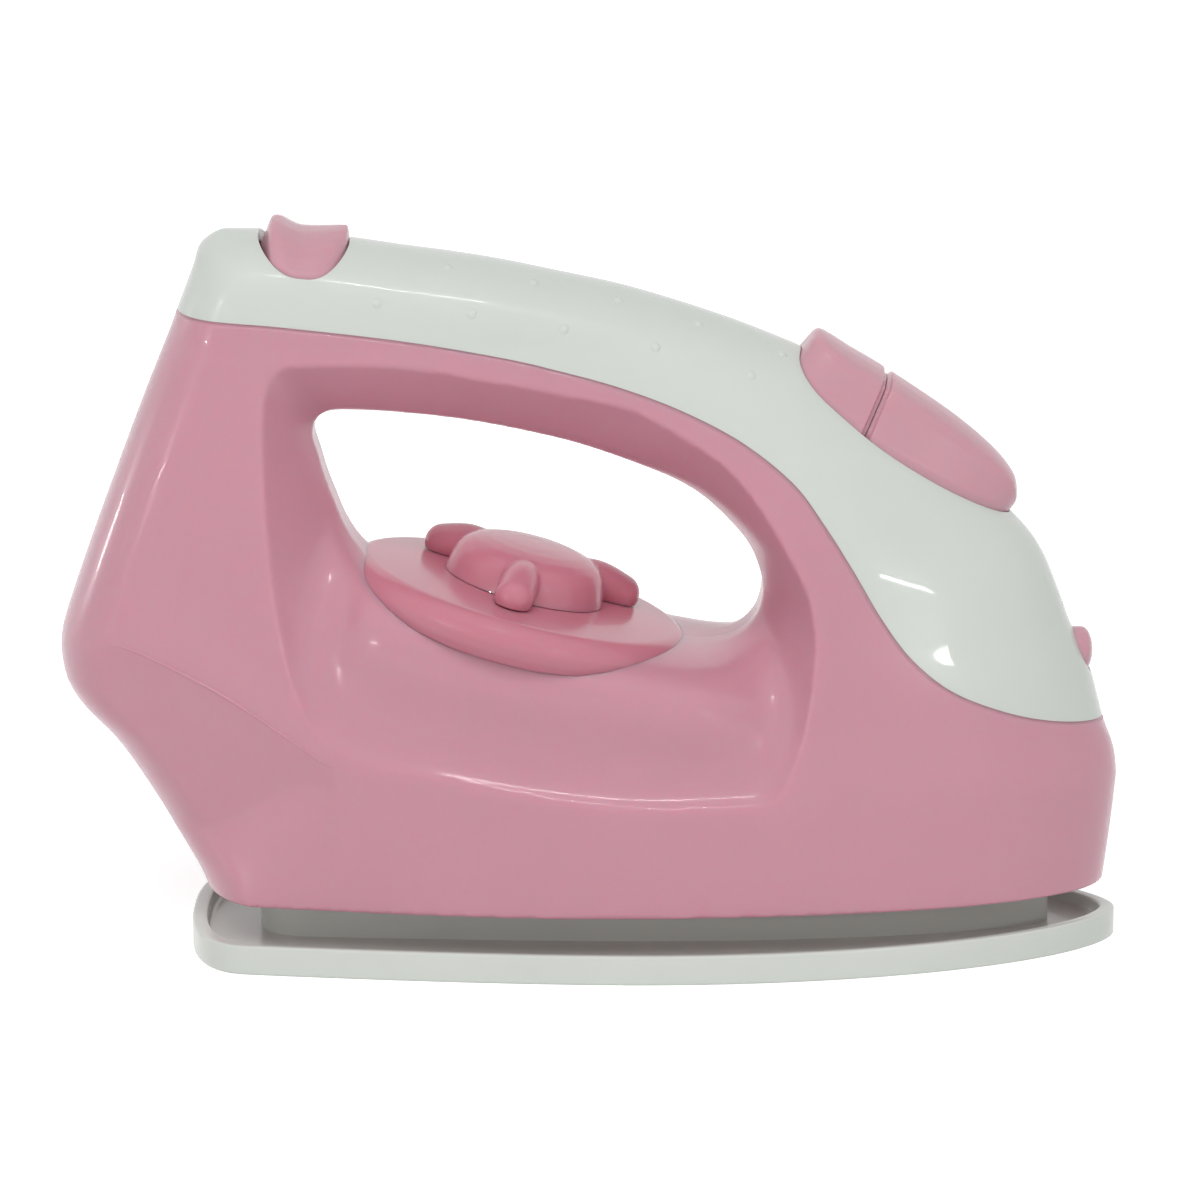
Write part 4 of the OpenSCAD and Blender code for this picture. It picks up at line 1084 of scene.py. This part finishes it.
def plastic(name, rgb, rough=0.25, coat=0.22, grain=0.02, bleed=0.6, spread=PINK_SPREAD):
    """Moulded glossy plastic with faint clouds in its colour and shine."""
    material = bpy.data.materials.new(name)
    material.use_nodes = True
    nodes, links = material.node_tree.nodes, material.node_tree.links
    shader = nodes["Principled BSDF"]
    for socket, value in PLASTIC.items():
        shader.inputs[socket].default_value = value
    shader.inputs["Coat Weight"].default_value = coat
    shader.inputs["Subsurface Weight"].default_value = bleed
    shader.inputs["Subsurface Radius"].default_value = spread
    spot = nodes.new("ShaderNodeTexCoord").outputs["Object"]
    cloud = nodes.new("ShaderNodeTexNoise")
    for socket, value in CLOUDS.items():
        cloud.inputs[socket].default_value = value
    links.new(spot, cloud.inputs["Vector"])
    tint = nodes.new("ShaderNodeMix")
    tint.data_type = "RGBA"
    tint.inputs[MIX_A].default_value = colour(*[c*(1 - grain) for c in rgb])
    tint.inputs[MIX_B].default_value = colour(*[min(255, c*(1 + grain)) for c in rgb])
    links.new(cloud.outputs[0], tint.inputs[0])
    links.new(tint.outputs[2], shader.inputs["Base Color"])
    shine = nodes.new("ShaderNodeMapRange")
    shine.inputs["To Min"].default_value = rough - ROUGH_SPREAD
    shine.inputs["To Max"].default_value = rough + ROUGH_SPREAD
    links.new(cloud.outputs[0], shine.inputs[0])
    links.new(shine.outputs[0], shader.inputs["Roughness"])
    return material


def metal(name, rgb, rough):
    """Plain plated metal with faint clouds in its colour and shine."""
    material = plastic(name, rgb, rough, coat=0, grain=0.05, bleed=0)
    material.node_tree.nodes["Principled BSDF"].inputs["Metallic"].default_value = 1
    return material


def paint(obj, material):
    obj.data.materials.clear()
    obj.data.materials.append(material)


def seen_directly(nodes, links):
    """1 for rays from the camera, and for those that mirror or pass through glass."""
    path = nodes.new("ShaderNodeLightPath")
    total = path.outputs["Is Camera Ray"]
    for ray in ("Is Glossy Ray", "Is Transmission Ray"):
        add = nodes.new("ShaderNodeMath")
        add.operation = "MAXIMUM"
        links.new(total, add.inputs[0])
        links.new(path.outputs[ray], add.inputs[1])
        total = add.outputs[0]
    return total


def floor():
    """Pale floor, which glows a little for the camera and keeps the object's shadow."""
    half = FLOOR_HALF
    mesh = bpy.data.meshes.new("floor")
    mesh.from_pydata([(-half, -half, 0), (half, -half, 0), (half, half, 0), (-half, half, 0)],
                     [], [(0, 1, 2, 3)])
    added("floor", mesh)
    material = bpy.data.materials.new("floor")
    material.use_nodes = True
    nodes, links = material.node_tree.nodes, material.node_tree.links
    shader = nodes["Principled BSDF"]
    shader.inputs["Base Color"].default_value = (FLOOR_SHADE, FLOOR_SHADE, FLOOR_SHADE, 1)
    shader.inputs["Roughness"].default_value = FLOOR_ROUGH
    lift = nodes.new("ShaderNodeEmission")
    lift.inputs["Strength"].default_value = FLOOR_GLOW
    none = nodes.new("ShaderNodeEmission")
    none.inputs["Strength"].default_value = 0
    pick = nodes.new("ShaderNodeMixShader")
    links.new(seen_directly(nodes, links), pick.inputs[0])
    links.new(none.outputs[0], pick.inputs[1])
    links.new(lift.outputs[0], pick.inputs[2])
    total = nodes.new("ShaderNodeAddShader")
    links.new(shader.outputs[0], total.inputs[0])
    links.new(pick.outputs[0], total.inputs[1])
    links.new(total.outputs[0], nodes["Material Output"].inputs[0])
    mesh.materials.append(material)


def world():
    """Even sky that lights the object, and shows white behind it."""
    made = bpy.data.worlds.new("world")
    bpy.context.scene.world = made
    made.use_nodes = True
    nodes, links = made.node_tree.nodes, made.node_tree.links
    strength = nodes.new("ShaderNodeMapRange")
    strength.inputs["To Min"].default_value = SKY
    strength.inputs["To Max"].default_value = 1
    links.new(seen_directly(nodes, links), strength.inputs[0])
    links.new(strength.outputs[0], nodes["Background"].inputs["Strength"])
    nodes["Background"].inputs["Color"].default_value = (1, 1, 1, 1)


def lamp(number, bearing, rise, away, width, height, watts, glossy=True):
    """Strip lamp that faces the object; the bearing is from the camera's side, to the right."""
    light = bpy.data.lights.new(f"lamp_{number}", "AREA")
    light.shape = "RECTANGLE"
    light.size, light.size_y = width, height
    light.energy = watts
    made = added(light.name, light)
    made.visible_glossy = glossy
    turn, lift = math.radians(bearing), math.radians(rise)
    way = Vector((math.sin(turn)*math.cos(lift), -math.cos(turn)*math.cos(lift), math.sin(lift)))
    made.location = Vector((0, 0, BODY_H*MM/2)) + away*way
    made.rotation_euler = (-way).to_track_quat("-Z", "Y").to_euler()


def camera():
    view = bpy.data.cameras.new("camera")
    view.lens = CAMERA_LENS
    view.sensor_width = SENSOR_W
    view.clip_start = CLIP_START
    made = added("camera", view)
    way = Vector((0, -math.cos(CAMERA_RISE), math.sin(CAMERA_RISE)))
    made.location = Vector(CAMERA_AIM) + CAMERA_AWAY*way
    made.rotation_euler = (math.pi/2 - CAMERA_RISE, 0, 0)
    bpy.context.scene.camera = made


shell_pink = plastic("shell_pink", (209, 153, 168))
dial_pink = plastic("dial_pink", (206, 135, 151))
button_pink = plastic("button_pink", (208, 158, 170))
cover_white = plastic("cover_white", (214, 220, 213), bleed=0.1, spread=(1, 1, 1))
inner_white = plastic("inner_white", (215, 216, 212), bleed=0.1, spread=(1, 1, 1))
steel = metal("steel", (190, 192, 196), 0.35)

body = soft_body()
space = hollow()
for half in housing():
    paint(half, shell_pink)
paint(cover(), cover_white)
paint(soleplate(), cover_white)
for button in front_buttons():
    paint(button, button_pink)
paint(thumb_button(), button_pink)
paint(dial_plate(), dial_pink)
paint(knob(), dial_pink)
paint(nozzle(), button_pink)
for node, material in (("front_button_frame", inner_white), ("thumb_button_frame", inner_white),
                       ("nozzle_clip", inner_white), ("spray_spring", steel),
                       ("steam_spring", steel), ("thumb_spring", steel),
                       ("dial_washer", steel), ("dial_screw", steel),
                       ("housing_screws", steel), ("sole_screws", steel),
                       ("frame_screws", steel)):
    paint(frame["nodes"][node], material)
for spare in (body, space):
    bpy.data.objects.remove(spare)

floor()
world()
for number, values in enumerate(LAMPS):
    lamp(number, *values)
lamp("fill", *FILL, glossy=False)
camera()
bpy.context.scene.view_settings.view_transform = "Standard"
